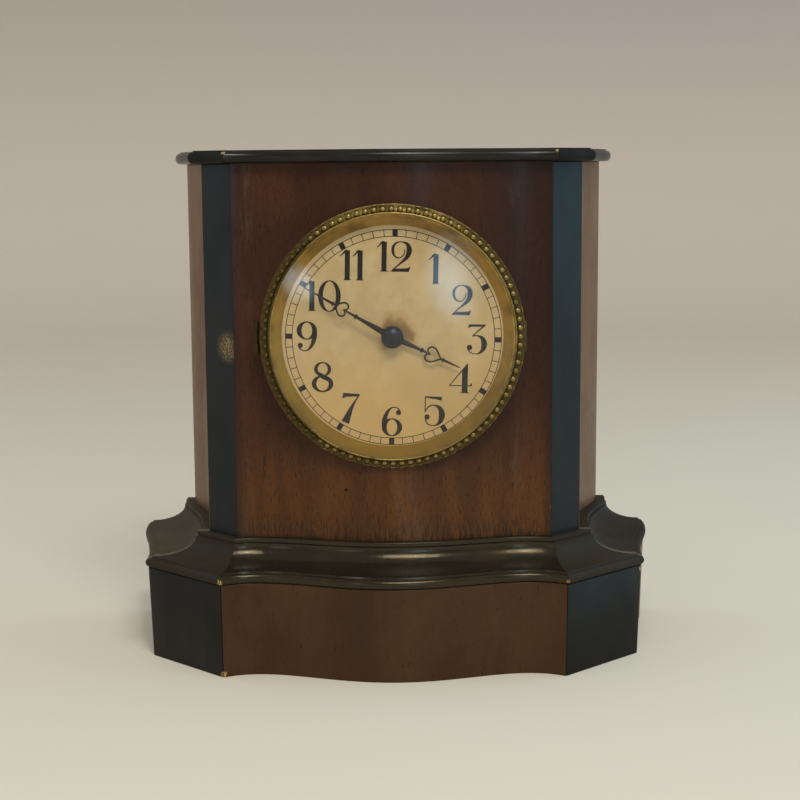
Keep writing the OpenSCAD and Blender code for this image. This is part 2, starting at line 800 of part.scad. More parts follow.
// Key with a square socket and a bow of two rings
key_y = rear_y + 10;
socket_w = square_w + 0.06;
key_barrel = 16;
bow_r = 5;
bow_w = 2.6;
bow_t = 2;
module winding_key() {
    color(brass) {
        difference() {
            rod(barrel_at, key_y, key_y + key_barrel, 4);
            on_arbor(barrel_at, key_y + 11) translate([-socket_w / 2, -socket_w / 2, 0])
                cube([socket_w, socket_w, 11 + past]);
        }
        translate([barrel_at.x, key_y, dial_z + barrel_at.y]) {
            for (s = [-1, 1]) translate([1.5 * bow_r * s, key_barrel + 4.5, 0])
                rotate_extrude() translate([bow_r, 0]) square([bow_w, bow_t], center = true);
            translate([-4, key_barrel - 0.5, -bow_t / 2]) cube([8, 9, bow_t]);
        }
    }
}

// Click on the back plate, resting just clear of the ratchet
click_pivot = [17.5, barrel_at.y + 8];
click_screw_r = 1;
click_y = ratchet_y + 1.5;
click_tip = barrel_at + polar(ratchet_r + 0.6, 60);
click_angle = between(click_pivot, click_tip);
module click() {
    reach = norm(click_pivot - click_tip);
    color(steel) on_arbor(click_pivot, click_y) rotate(click_angle) {
        linear_extrude(1.4) difference() {
            union() {
                circle(2.8);
                polygon([[1, -2.4], [reach, -0.3], [reach, 0.5], [1, 2.4]]);
            }
            circle(click_screw_r + run_gap);
        }
    }
}

// Bent strip that presses on the tail side of the click
module click_spring() {
    color(blued) on_arbor(click_pivot, ratchet_y + 1.4) {
        translate([3.2, -9, 0]) cylinder(h = 1.8, r = 1.4);
        linear_extrude(1) polygon([[3, -9], [3.6, -9], [3.6, -1], [2.8, 3.5], [2.3, 3.3], [3.1, -1]]);
    }
}

// Wheel and pinion on a common arbor between the plates
module train_arbor(p, r) {
    rod(p, front_plate_y + 0.2, rear_y - 0.2, r);
}

module third_wheel() {
    color(brass) {
        on_arbor(third_at, third_wheel_y)
            wheel(third_teeth, m_third, between(third_at, fourth_at), wheel_pivot);
        on_arbor(third_at, centre_wheel_y + 1)
            pinion(leaves, m_centre, between(third_at, centre_at), pinion_h);
        train_arbor(third_at, wheel_pivot);
    }
}

module fourth_wheel() {
    color(brass) {
        on_arbor(fourth_at, fourth_wheel_y)
            wheel(fourth_teeth, m_fourth, between(fourth_at, escape_at), wheel_pivot);
        on_arbor(fourth_at, third_wheel_y + 1)
            pinion(leaves, m_third, between(fourth_at, third_at), pinion_h);
        train_arbor(fourth_at, wheel_pivot);
    }
}

escape_r = 7.5;
module escape_wheel() {
    step = 360 / escape_teeth;
    color(brass) {
        on_arbor(escape_at, escape_wheel_y) linear_extrude(wheel_t) difference() {
            polygon([for (i = [0:escape_teeth - 1]) each let(a = lever_dir + (i + 0.5) * step)
                [polar(5.9, a - 5), polar(escape_r, a - 1), polar(escape_r, a + 1), polar(5.9, a + 3)]]);
            difference() {
                circle(4.7);
                circle(2.6);
                for (i = [0:2]) rotate(i * 120) translate([0, -0.5]) square([6, 1]);
            }
        }
        on_arbor(escape_at, fourth_wheel_y + 1)
            pinion(leaves, m_fourth, between(escape_at, fourth_at), pinion_h);
        train_arbor(escape_at, escape_pivot);
    }
}

pallet_pin_r = 0.35;
pin_at = escape_r + pallet_pin_r + 0.08;
lever_y = escape_wheel_y + 1.2;
impulse_r = 2.2;
module pallet_lever() {
    place = [for (s = [-1, 1]) polar(13, 180) + polar(pin_at, 30 * s)];
    turn = fork_dir - lever_dir;
    color(steel) {
        on_arbor(lever_at, lever_y) rotate(lever_dir) linear_extrude(0.8) difference() {
            union() {
                circle(1.6);
                for (p = place) {
                    polygon([[0, -1.2], [0, 1.2], [p.x, p.y + 0.6], [p.x, p.y - 0.6]]);
                    translate(p) circle(0.8);
                }
                rotate(turn) polygon([[0, -1.2], [0, 1.2], [8, 0.8], [9, 1.4], [10.4, 1.1], [10.4, 0.4],
                    [9.2, 0.4], [9.2, -0.4], [10.4, -0.4], [10.4, -1.1], [9, -1.4], [8, -0.8]]);
            }
            circle(0.3);
        }
        for (p = place) on_arbor(lever_at, lever_y - 0.7) rotate(lever_dir) translate(p)
            cylinder(h = 1.9, r = pallet_pin_r);
        train_arbor(lever_at, escape_pivot);
    }
}

balance_r = 9;
balance_rim = 1.5;
balance_y = rear_y + 5;
module balance_wheel() {
    color(brass) {
        on_arbor(balance_at, balance_y) linear_extrude(1.2) {
            difference() {
                circle(balance_r);
                circle(balance_r - balance_rim);
            }
            for (a = [fork_dir, fork_dir + 90]) rotate(a)
                square([2 * balance_r - balance_rim, 1.2], center = true);
            circle(1.6);
        }
        rod(balance_at, front_plate_y + 0.2, rear_y + 9.9, staff_r);
        rod(balance_at, rear_y + 6.3, rear_y + 7.1, 0.85);
        rod(balance_at, lever_y + 0.6, lever_y + 1.4, 2.9);
        rod(balance_at + polar(impulse_r, fork_dir), lever_y - 1, lever_y + 0.7, 0.3);
    }
}

module hairspring() {
    color(blued) on_arbor(balance_at, rear_y + 7) rotate(cock_dir) linear_extrude(0.6)
        polygon(spiral(1.1, 0.6, 6, 0.24));
}

// Bridge over the balance, carrying its back pivot
cock_y = rear_y + 8.6;
cock_dir = between(balance_at, polar(60, 95));
module cock_arm(y0, y1, r0, r1) {
    on_arbor(balance_at, y1) rotate(cock_dir) linear_extrude(y1 - y0) union() {
        if (r0 == 0) circle(3.2);
        translate([r0, -3]) square([r1 - r0, 6]);
        translate([r1, 0]) circle(3);
    }
}

module balance_cock() {
    color(brass) difference() {
        union() {
            cock_arm(cock_y, cock_y + 1.4, 0, 15);
            cock_arm(rear_y, cock_y + 0.5, 12.5, 15);
            rod(balance_at, cock_y + 1.3, cock_y + 2.6, 0.95);
            rod(balance_at + polar(5.7, cock_dir), rear_y + 6.2, cock_y + 0.5, 0.6);
        }
        rod(balance_at, cock_y - past, cock_y + 3, staff_r + run_gap);
    }
}

module regulator() {
    color(steel) on_arbor(balance_at, cock_y + 2.5) rotate(cock_dir) linear_extrude(1) difference() {
        union() {
            circle(2.6);
            polygon([[1.6, -1.2], [12, -0.5], [12, 0.5], [1.6, 1.2]]);
        }
        circle(1);
    }
}

plinth_frame();
plinth_top_board();
plinth_front();
plinth_side_left();
plinth_side_right();
plinth_facets();
cove_front();
cove_left();
cove_right();
cove_corners();
front_panel();
side_panel_left();
side_panel_right();
corner_strip_left();
corner_strip_right();
corner_posts();
top_board();
top_moulding_front();
top_moulding_left();
top_moulding_right();
top_moulding_corners();
back_board();
back_door();
door_hinges();
door_hinge_leaves();
door_knob();
door_catch();
case_screws();
dial_pan();
dial();
bezel();
reflector_ring();
glass();
bezel_hinge();
front_plate();
back_plate();
plate_screws();
centre_arbor();
centre_wheel();
setting_knob();
cannon_pinion();
minute_hand();
hand_nut();
minute_wheel();
hour_wheel();
hour_hand();
barrel();
mainspring();
winding_arbor();
winding_key();
click();
click_spring();
third_wheel();
fourth_wheel();
escape_wheel();
pallet_lever();
balance_wheel();
hairspring();
balance_cock();
regulator();
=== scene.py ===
"""Looks of a small serpentine table clock in dark veneer and ebonised wood, with a beaded brass bezel."""
import math

import bmesh
import bpy
from mathutils import Matrix, Vector


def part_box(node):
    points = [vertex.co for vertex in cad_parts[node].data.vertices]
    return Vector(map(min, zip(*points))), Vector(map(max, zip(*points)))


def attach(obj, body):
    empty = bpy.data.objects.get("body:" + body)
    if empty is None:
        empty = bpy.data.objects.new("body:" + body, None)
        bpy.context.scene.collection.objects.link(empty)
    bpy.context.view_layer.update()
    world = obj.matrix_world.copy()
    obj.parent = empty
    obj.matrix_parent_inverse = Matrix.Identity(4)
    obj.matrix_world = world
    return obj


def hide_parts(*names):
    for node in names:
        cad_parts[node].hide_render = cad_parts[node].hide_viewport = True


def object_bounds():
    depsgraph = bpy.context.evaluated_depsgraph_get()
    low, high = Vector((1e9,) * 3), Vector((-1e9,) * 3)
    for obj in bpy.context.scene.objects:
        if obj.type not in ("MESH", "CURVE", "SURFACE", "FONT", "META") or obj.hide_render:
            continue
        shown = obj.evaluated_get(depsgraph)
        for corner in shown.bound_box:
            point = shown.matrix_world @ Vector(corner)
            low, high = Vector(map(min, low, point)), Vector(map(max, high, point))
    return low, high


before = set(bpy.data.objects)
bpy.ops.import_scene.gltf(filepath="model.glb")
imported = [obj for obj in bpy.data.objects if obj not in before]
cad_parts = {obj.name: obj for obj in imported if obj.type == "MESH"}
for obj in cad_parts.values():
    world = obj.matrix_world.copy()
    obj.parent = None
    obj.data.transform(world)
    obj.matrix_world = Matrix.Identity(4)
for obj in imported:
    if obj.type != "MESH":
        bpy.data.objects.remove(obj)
cad_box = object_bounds()
scene = bpy.context.scene
MM = 0.001

# Camera.
# It stands 0.85 m in front of the clock, level with its top, and looks eight degrees down at it.
CAMERA_AT = Vector((6.9, -835.8, 247.1)) * MM
PITCH, YAW, ROLL = 0.142, 0.0108, 0.0077
FRAME_PX, FOCAL_PX = 800, 1640
AXIS_PX = (389.5, 402.1)
SENSOR = 36
lens = bpy.data.cameras.new("camera")
lens.sensor_width = SENSOR
lens.lens = SENSOR * FOCAL_PX / FRAME_PX
lens.shift_x = (FRAME_PX / 2 - AXIS_PX[0]) / FRAME_PX
lens.shift_y = (AXIS_PX[1] - FRAME_PX / 2) / FRAME_PX
camera = bpy.data.objects.new("camera", lens)
scene.collection.objects.link(camera)
camera.matrix_world = (Matrix.Translation(CAMERA_AT) @ Matrix.Rotation(YAW, 4, "Z")
                       @ Matrix.Rotation(math.pi / 2 - PITCH, 4, "X") @ Matrix.Rotation(-ROLL, 4, "Z"))
scene.camera = camera

# Carcass of the plinth: a softwood frame round an open middle, and the board that the case stands on.
# Left in the white, it has only the brown of old age, and shows when the clock is turned over.


def add_node(tree, kind, inputs=(), **settings):
    """Adds a node. Inputs go by name or number: a wire is linked, and anything else is a plain value."""
    made = tree.nodes.new(kind)
    for key, value in settings.items():
        setattr(made, key, value)
    for key, value in dict(inputs).items():
        if isinstance(value, Wire):
            tree.links.new(value.socket, made.inputs[key])
        else:
            made.inputs[key].default_value = value
    return made


def wire_from(tree, kind, inputs=(), output=0, **settings):
    """Adds a node and returns the wire of one of its outputs, by name or number."""
    return Wire(add_node(tree, kind, inputs, **settings).outputs[output])


class Wire:
    """An output of a node. Arithmetic on it adds the Math or Vector Math nodes that work it out."""

    def __init__(self, socket):
        self.socket, self.tree, self.vector = socket, socket.id_data, socket.type != "VALUE"

    def work(self, operation, other=None, clamp=False, swap=False):
        sides = dict(enumerate([self] if other is None else [other, self] if swap else [self, other]))
        if not self.vector:
            return wire_from(self.tree, "ShaderNodeMath", sides, operation=operation, use_clamp=clamp)
        output = "Value" if operation in ("LENGTH", "DISTANCE", "DOT_PRODUCT") else "Vector"
        return wire_from(self.tree, "ShaderNodeVectorMath", sides, output, operation=operation)

    def __add__(self, other):
        return self.work("ADD", other)

    def __sub__(self, other):
        return self.work("SUBTRACT", other)

    def __rsub__(self, other):
        return self.work("SUBTRACT", other, swap=True)

    def __mul__(self, other):
        return self.work("MULTIPLY", other)

    def spread(self, low, high, to_low=0.0, to_high=1.0):
        """Stretches the values from low to high smoothly over the new range, and stops there."""
        return wire_from(self.tree, "ShaderNodeMapRange", {
            "Value": self, "From Min": low, "From Max": high, "To Min": to_low, "To Max": to_high},
            interpolation_type="SMOOTHSTEP")

    def axis(self, name):
        return wire_from(self.tree, "ShaderNodeSeparateXYZ", {0: self}, name)


def noise(spot, scale, detail=4.0, roughness=0.5, distortion=0.0):
    return wire_from(spot.tree, "ShaderNodeTexNoise", {
        "Vector": spot, "Scale": scale, "Detail": detail, "Roughness": roughness,
        "Distortion": distortion}, "Fac")


def layered(tone, *layers):
    """Lays colours over a tone, each with the share of it that shows. Colours are wires or three numbers."""
    for share, colour in layers:
        a, b = ((*c, 1) if isinstance(c, tuple) else c for c in (tone, colour))
        tone = wire_from(share.tree, "ShaderNodeMix", {"Factor": share, 6: a, 7: b}, 2, data_type="RGBA")
    return tone


def bump(height, strength, distance):
    return wire_from(height.tree, "ShaderNodeBump",
                     {"Height": height, "Strength": strength, "Distance": distance})


def finish(name, slot, **plain):
    """A material with plain values on its shader; its slot is not used. Returns it and its Object
    coordinates.
    """
    made = bpy.data.materials.new(name)
    made.use_nodes = True
    shader = made.node_tree.nodes["Principled BSDF"]
    for key, value in plain.items():
        if isinstance(value, tuple):
            value = (*value, 1)
        shader.inputs[key.replace("_", " ")].default_value = value
    return made, wire_from(made.node_tree, "ShaderNodeTexCoord", output="Object")


def wire_up(material, **wires):
    """Feeds wires to inputs of a material's Principled shader."""
    shader = material.node_tree.nodes["Principled BSDF"]
    for key, wire in wires.items():
        material.node_tree.links.new(wire.socket, shader.inputs[key.replace("_", " ")])
    return material


def effect(name, **inputs):
    """A shader node group with these inputs and their first values. Returns it and its inputs' wires."""
    group = bpy.data.node_groups.new(name, "ShaderNodeTree")
    for label, value in inputs.items():
        kind = "NodeSocketVector" if isinstance(value, tuple) else "NodeSocketFloat"
        socket = group.interface.new_socket(label.replace("_", " "), in_out="INPUT", socket_type=kind)
        socket.default_value = value
    given = group.nodes.new("NodeGroupInput").outputs
    return group, [Wire(given[label.replace("_", " ")]) for label in inputs]


def put_out(group, **wires):
    """Ends a node group with these outputs."""
    for label in wires:
        group.interface.new_socket(label, in_out="OUTPUT", socket_type="NodeSocketFloat")
    add_node(group, "NodeGroupOutput", wires)


def use(group, spot, **inputs):
    """Places a group in the tree of the coordinates it works on. Returns its outputs' wires by name."""
    inputs = {key.replace("_", " "): value for key, value in inputs.items()}
    made = add_node(spot.tree, "ShaderNodeGroup", {"Vector": spot, **inputs}, node_tree=group)
    return {output.name: Wire(output) for output in made.outputs}


# Timber: figure is the broad light and dark of the grain, fibre the fine lines in it, pores the open dashes.
timber, (spot, along, figure_scale, waviness, pore_share) = effect(
    "Timber", Vector=(0, 0, 0), Along=(1, 1, 0.07), Figure_Scale=60.0, Waviness=0.35, Pore_Share=0.36)
wander = wire_from(timber, "ShaderNodeTexNoise", {"Vector": spot, "Scale": 14.0, "Detail": 2.0}, "Color")
drift = wire_from(timber, "ShaderNodeVectorMath", {0: wander - (0.5, 0.5, 0.5), "Scale": waviness * 0.012},
                  operation="SCALE")
path = (spot + drift * (1, 1, 0.2)) * along
dashes = noise(path * (1, 1, 0.55), figure_scale * 50.0, 1.0, 0.5)
put_out(timber, Figure=noise(path, figure_scale, 3.0, 0.55, 0.6),
        Fibre=noise(path, figure_scale * 14.0, 3.0, 0.7), Pores=dashes.spread(pore_share, pore_share - 0.07))

PINE_PALE, PINE_DARK, PINE_SOOT = (0.40, 0.25, 0.115), (0.255, 0.138, 0.056), (0.08, 0.048, 0.024)
pine, place = finish("carcass_pine", "carcass_wood", Roughness=0.78)
grain = use(timber, place, Along=(0.022, 1, 1), Figure_Scale=260.0, Waviness=1.0)
soot = noise(place, 34.0, 7.0, 0.72).spread(0.46, 0.74)
wire_up(pine, Normal=bump(grain["Fibre"], 0.35, 0.0002), Base_Color=layered(
    PINE_DARK, (grain["Figure"].spread(0.30, 0.62), PINE_PALE), (grain["Fibre"] * 0.35, PINE_DARK),
    (soot * 0.42, PINE_SOOT)))


def wear_finish(name, material):
    """Gives a CAD node that is shown as it is its finish."""
    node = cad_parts[name]
    node.data.materials.clear()
    node.data.materials.append(material)


for name in ("plinth_frame", "plinth_top_board"):
    wear_finish(name, pine)

# Plinth faces: a serpentine front and swelling sides of veneer on shaped blocks glued to the frame,
# with a flat ebonised facet across each front corner. French polished, and chipped at the joints.
CASE_HALF, CASE_FRONT, CASE_BOW, CASE_TURN = 78.2 * MM, 35 * MM, 10.5 * MM, 0.72
CASE_SIDE, CASE_SIDE_AT, CASE_SWELL = 94 * MM, 20 * MM, 17.5 * MM
PLINTH_HALF, PLINTH_FRONT, PLINTH_BOW, PLINTH_TURN = 84.3 * MM, 60.8 * MM, 9.2 * MM, 0.49
PLINTH_SIDE, PLINTH_SIDE_AT, PLINTH_SWELL = 125.5 * MM, 21 * MM, 12 * MM
FULL_AT = 63 * MM
PLINTH_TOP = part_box("plinth_front")[1].z
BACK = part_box("plinth_side_left")[1].y
FACE_IN, FACE_FOOT = 0.88, 0.95
FRONT_STEPS, SIDE_STEPS = 96, 48
SEAM = 0.12 * MM


def between(a, b, share):
    return a + (b - a) * share


def serpentine(u, turn):
    return (1 - u * u) * (1 - u * u / (turn * turn))


def swell(y, start, power):
    return (1 - math.cos(math.pi * max(0.0, (y + start) / (FULL_AT + start)) ** power)) / 2


def case_front(u):
    return Vector((u * CASE_HALF, -CASE_FRONT - CASE_BOW * serpentine(u, CASE_TURN)))


def plinth_front(u):
    return Vector((u * PLINTH_HALF, -PLINTH_FRONT - PLINTH_BOW * serpentine(u, PLINTH_TURN)))


def case_side(y):
    return Vector((CASE_SIDE + CASE_SWELL * swell(y, CASE_SIDE_AT, 1.6), y))


def plinth_side(y):
    return Vector((PLINTH_SIDE + PLINTH_SWELL * swell(y, PLINTH_SIDE_AT, 1.2), y))


def stations(count, inner, outer):
    """Pairs of plan points, on the case and on the plinth, along one run of the clock's outline."""
    return [(inner(i / count), outer(i / count)) for i in range(count + 1)]


front_run = stations(FRONT_STEPS, lambda s: case_front(2 * s - 1), lambda s: plinth_front(2 * s - 1))
side_run = stations(SIDE_STEPS, lambda s: case_side(between(-CASE_SIDE_AT, BACK, s)),
                    lambda s: plinth_side(between(-PLINTH_SIDE_AT, BACK, s)))
corner_run = stations(4, lambda s: case_front(1).lerp(case_side(-CASE_SIDE_AT), s),
                      lambda s: plinth_front(1).lerp(plinth_side(-PLINTH_SIDE_AT), s))


def piece(name, mesh, material, body, stands_for=None):
    """Makes the mesh an object, with its finish, its body and the CAD node that it stands for."""
    mesh.name = name
    mesh.materials.clear()
    mesh.materials.append(material)
    made = bpy.data.objects.new(name, mesh)
    scene.collection.objects.link(made)
    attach(made, body)
    if stands_for:
        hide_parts(stands_for)


def mesh_from(form, sharp=35):
    """Turns a form into a mesh with outward faces, smooth unless it bends by more than sharp degrees."""
    bmesh.ops.remove_doubles(form, verts=form.verts, dist=1e-7)
    bmesh.ops.recalc_face_normals(form, faces=form.faces)
    mesh = bpy.data.meshes.new("part")
    form.to_mesh(mesh)
    form.free()
    mesh.shade_smooth()
    mesh.set_sharp_from_angle(angle=math.radians(sharp))
    return mesh


def as_seen(holder, *others, **options):
    """The mesh of an object with its modifiers. The object goes, and the others with it."""
    seen = bpy.context.evaluated_depsgraph_get()
    made = bpy.data.meshes.new_from_object(holder.evaluated_get(seen), depsgraph=seen, **options)
    for o in (holder, *others):
        bpy.data.objects.remove(o)
    return made


def held(mesh):
    """An object in the scene that holds a mesh for a while."""
    holder = bpy.data.objects.new("held", mesh)
    scene.collection.objects.link(holder)
    return holder


def eased(mesh, width, steps=2):
    """Rounds the edges of a mesh as sandpaper and handling do, and keeps its broad faces flat."""
    holder = held(mesh)
    round_edges = holder.modifiers.new("round", "BEVEL")
    round_edges.width, round_edges.segments = width, steps
    round_edges.limit_method, round_edges.angle_limit = "ANGLE", math.radians(30)
    round_edges.use_clamp_overlap = True
    holder.modifiers.new("flat", "WEIGHTED_NORMAL").keep_sharp = False
    return as_seen(holder, preserve_all_data_layers=True)


def cover(form, rings):
    """Faces between each ring of points and the next."""
    for a, b in zip(rings, rings[1:]):
        for i in range(len(a)):
            j = (i + 1) % len(a)
            form.faces.new((a[i], a[j], b[j], b[i]))


def moulding(run, profile, left=False):
    """Carries a closed profile of share outward and height along a run, drawn back by a hair at each end."""
    length = (run[-1][1] - run[-2][1]).length
    ends = {0: 1, len(run) - 1: len(run) - 2}
    form = bmesh.new()
    rings = []
    for i, (inner, outer) in enumerate(run):
        if i in ends:
            inner, outer = (p.lerp(q, SEAM / length) for p, q in zip((inner, outer), run[ends[i]]))
        rings.append([form.verts.new((*inner.lerp(outer, share), z)) for share, z in profile])
    cover(form, rings)
    form.faces.new(rings[0][::-1])
    form.faces.new(rings[-1])
    if left:
        bmesh.ops.scale(form, vec=(-1, 1, 1), verts=form.verts)
    return mesh_from(form, 50)


# Wear: polish rubbed off where two faces meet, knocks that show bare wood, and the fine marks of handling.
edge_wear, (spot, width, breakup, amount) = effect("Edge Wear", Vector=(0, 0, 0), Width=0.0006, Breakup=240.0,
                                                   Amount=0.5)
rounded = wire_from(edge_wear, "ShaderNodeBevel", {"Radius": width}, samples=4)
true = wire_from(edge_wear, "ShaderNodeNewGeometry", output="Normal")
turn = 1.0 - rounded.work("DOT_PRODUCT", true)
patchy = noise(spot, breakup, 4.0, 0.65).spread(0.72 - amount * 0.3, 0.78)
put_out(edge_wear, Mask=turn.spread(0.01, 0.16) * patchy)

chip, (spot, centre, radius) = effect("Chip", Vector=(0, 0, 0), Place=(0, 0, 0), Radius=0.002)
ragged = (noise(spot, 1100.0, 4.0) - 0.5) * 1.9
put_out(chip, Mask=(spot.work("DISTANCE", centre).work("DIVIDE", radius) + ragged).spread(1.0, 0.8))

handling, (spot, haze_scale, scratch_scale) = effect("Handling", Vector=(0, 0, 0), Haze_Scale=26.0,
                                                     Scratch_Scale=900.0)
put_out(handling, Haze=noise(spot, haze_scale, 5.0, 0.6).spread(0.3, 0.75),
        Scratches=noise(spot * (1, 0.6, 0.05), scratch_scale, 2.0, 0.6, 0.3).spread(0.66, 0.76),
        Dust=noise(spot, 2200.0, 2.0).spread(0.70, 0.82))


def with_chips(mask, place, chips):
    """Adds chips to a mask, given as places and sizes in metres."""
    for where, size in chips:
        mask = mask.work("MAXIMUM", use(chip, place, Place=where, Radius=size)["Mask"])
    return mask


def raw_wood(place):
    """Yellow wood where the finish is knocked off, dirty in its hollows."""
    hollows = noise(place, 1400.0, 3.0, 0.6).spread(0.40, 0.58)
    return layered((0.13, 0.065, 0.020), (hollows, (0.52, 0.34, 0.11)))


def polished_wood(name, slot, colours, grain_values, roughness, coat, chips=(), marks_and_painted_light=None, figure=1.0,
                  fibre=0.42, holes=()):
    """French-polished veneer. Colours are dark, middle and light, and figure and fibre are how strongly the
    broad and the fine grain show. Holes are given as chips are."""
    made, place = finish(name, slot, Coat_Weight=coat, Coat_Roughness=0.16, Coat_IOR=1.5,
                         Specular_IOR_Level=0.13)
    grain = use(timber, place, **grain_values)
    dark, middle, light = colours
    cloud = noise(place * (1, 1, 0.6), 26.0, 5.0, 0.6)
    tone = layered(middle, (grain["Figure"].spread(0.32, 0.55, figure, 0.0), dark),
                   (grain["Figure"].spread(0.52, 0.74, 0.0, figure), light),
                   (grain["Fibre"].spread(0.38, 0.72, 0.0, fibre), dark),
                   (cloud.spread(0.36, 0.50, 0.55, 0.0), dark), (cloud.spread(0.50, 0.68, 0.0, 0.55), light))
    if marks_and_painted_light:
        tone = marks_and_painted_light(place, tone, grain)
    marks = use(handling, place)
    bare = with_chips(use(edge_wear, place, Amount=0.35)["Mask"] * 0.6, place, chips)
    tone = layered(tone, (with_chips(grain["Pores"] * 0.75, place, holes), tuple(c * 0.25 for c in dark)),
                   (bare, raw_wood(place)), (marks["Dust"] * 0.10, (0.4, 0.36, 0.3)))
    rough = marks["Haze"] * 0.16 + roughness + marks["Scratches"] * 0.12
    return wire_up(made, Base_Color=tone, Roughness=rough.work("ADD", bare * 0.4, clamp=True),
                   Normal=bump(1.0 - (grain["Pores"] + bare * 2.0), 0.30, 0.00008))


def on_plinth(x, z):
    """The place on the front of the plinth at this x and height, in millimetres."""
    return (x * MM, plinth_front(x * MM / PLINTH_HALF).y * between(FACE_FOOT, 1.0, z * MM / PLINTH_TOP),
            z * MM)


foot = case_front(1).lerp(plinth_front(1), FACE_FOOT)
FOOT_CHIP = ((-foot.x, foot.y, 1.5 * MM), 1.9 * MM)
WORM_HOLES = [(-78.0, 27.1, 0.45), (-76.6, 23.1, 0.75), (-74.8, 20.1, 0.6), (-50.0, 20.1, 0.55),
              (-41.3, 23.9, 0.5), (-33.5, 15.1, 0.55), (22.0, 30.0, 0.5), (46.0, 12.0, 0.6)]
plinth_veneer = polished_wood(
    "plinth_veneer", "veneer", ((0.038, 0.0170, 0.0062), (0.055, 0.0248, 0.0085), (0.073, 0.0335, 0.0108)),
    {"Along": (1, 1, 0.30), "Figure_Scale": 34.0, "Waviness": 0.8, "Pore_Share": 0.33}, 0.36, 0.14,
    chips=[FOOT_CHIP, (on_plinth(-15.7, 5.8), 0.8 * MM)], figure=0.7, fibre=0.25,
    holes=[(on_plinth(x, z), size * MM) for x, z, size in WORM_HOLES])
# The side veneer is painted paler than the front: a painted reflection of the bright backdrop at a grazing
# angle.
side_veneer = polished_wood(
    "side_veneer", "side_veneer", ((0.100, 0.0445, 0.0185), (0.155, 0.0740, 0.0310), (0.200, 0.1000, 0.0440)),
    {"Along": (1, 1, 0.08), "Figure_Scale": 70.0, "Waviness": 0.3, "Pore_Share": 0.35}, 0.42, 0.20,
    figure=0.8, fibre=0.35)


def ebonised_wood(name, roughness, gloss, black=(0.0082, 0.0072, 0.0060), brown=0.25, chips=(), edge=0.45,
                  coat=0.0, sheen=(1.0, 1.0, 1.0), ripple_depth=0.00035, rub_and_highlight_to=0.0, scuff=None):
    """Pearwood stained black and polished. It shows brown where thin and yellow where it is knocked off.
    The length of rub is how far back from its mitre a side length is painted pale, as rubbed wear and the
    highlight its edge catches; scuff is where and how far it flakes."""
    made, place = finish(name, "ebonised", Coat_Weight=coat, Coat_Roughness=0.16, Coat_IOR=1.5,
                         Specular_IOR_Level=gloss, Specular_Tint=sheen)
    marks = use(handling, place)
    thin = noise(place, 38.0, 5.0, 0.62, 0.4).spread(0.46, 0.74)
    worn = use(edge_wear, place, Amount=edge)["Mask"]
    tone = layered(black, (thin * brown, (0.030, 0.019, 0.0095)), (worn * 0.55, (0.12, 0.072, 0.028)))
    # Painted highlight and wear: a pale band back from the mitre.
    if rub_and_highlight_to:
        patchy = noise(place, 160.0, 3.0).spread(0.30, 0.55, 0.45, 0.85)
        behind = place.axis("Y") + PLINTH_SIDE_AT
        tone = layered(tone, (behind.spread(rub_and_highlight_to, 0.0) * patchy, (0.185, 0.155, 0.110)))
    bare = with_chips(marks["Dust"] * 0.05, place, chips)
    tone = layered(tone, (bare, raw_wood(place)))
    if scuff:
        near = place.work("DISTANCE", scuff[0]).work("DIVIDE", scuff[1]).spread(1.0, 0.2)
        flakes = noise(place * (1, 1, 0.6), 2300.0, 2.0, 0.7).spread(0.47, 0.60)
        tone = layered(tone, (near * flakes, (0.36, 0.24, 0.085)))
    rough = marks["Haze"] * 0.18 + roughness + marks["Scratches"] * 0.14
    ripple = noise(place, 55.0, 3.0, 0.5) + noise(place, 420.0, 2.0, 0.5) * 0.22 - bare * 1.5
    return wire_up(made, Base_Color=tone, Roughness=rough.work("ADD", worn * 0.2, clamp=True),
                   Normal=bump(ripple, 0.25, ripple_depth))


facet_black = ebonised_wood("ebonised_facet", 0.50, 0.20, (0.0098, 0.0088, 0.0072), chips=[
    FOOT_CHIP, ((125.0 * MM, -21.5 * MM, 44.5 * MM), 1.3 * MM)])
face_profile = [(FACE_IN, 0), (FACE_IN, PLINTH_TOP), (1, PLINTH_TOP), (FACE_FOOT, 0)]
piece("plinth_front_veneer", eased(moulding(front_run, face_profile), 0.4 * MM), plinth_veneer, "case",
      "plinth_front")
for side in ("right", "left"):
    piece(f"plinth_{side}_veneer", eased(moulding(side_run, face_profile, side == "left"), 0.4 * MM),
          side_veneer, "case", "plinth_side_" + side)


def joined(meshes):
    """One mesh of several, each left as it is."""
    form = bmesh.new()
    for mesh in meshes:
        form.from_mesh(mesh)
    made = bpy.data.meshes.new("joined")
    form.to_mesh(made)
    form.free()
    made.shade_smooth()
    made.set_sharp_from_angle(angle=math.radians(40))
    return made


facets = [eased(moulding(corner_run, face_profile, left), 0.5 * MM) for left in (False, True)]
piece("plinth_corner_facets", joined(facets), facet_black, "case", "plinth_facets")

# Cove moulding: run in lengths with a fillet above and a round nose below, mitred at the corners, where flat
# pieces cross the cants. Black polish over pearwood, knocked to yellow wood at the two front mitres.
COVE_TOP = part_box("cove_front")[1].z
COVE_HEIGHT = COVE_TOP - PLINTH_TOP
FILLET_OUT, FILLET_HIGH, FILLET_STEP = 0.19, 2.3 * MM, 0.3 * MM
COVE_FROM, COVE_TO, COVE_DROP = 0.22, 0.93, COVE_HEIGHT - 8.4 * MM
NOSE_AT, NOSE_OUT, NOSE_HALF = 0.956, 0.09, 2.4 * MM
EASE_SHARE, EASE_UP = 0.018, 0.45 * MM


def arc(centre, radii, start, stop, steps):
    """Points on a part of an ellipse, angles in degrees."""
    return [(centre[0] + radii[0] * math.cos(a), centre[1] + radii[1] * math.sin(a))
            for a in (math.radians(between(start, stop, i / steps)) for i in range(steps + 1))]


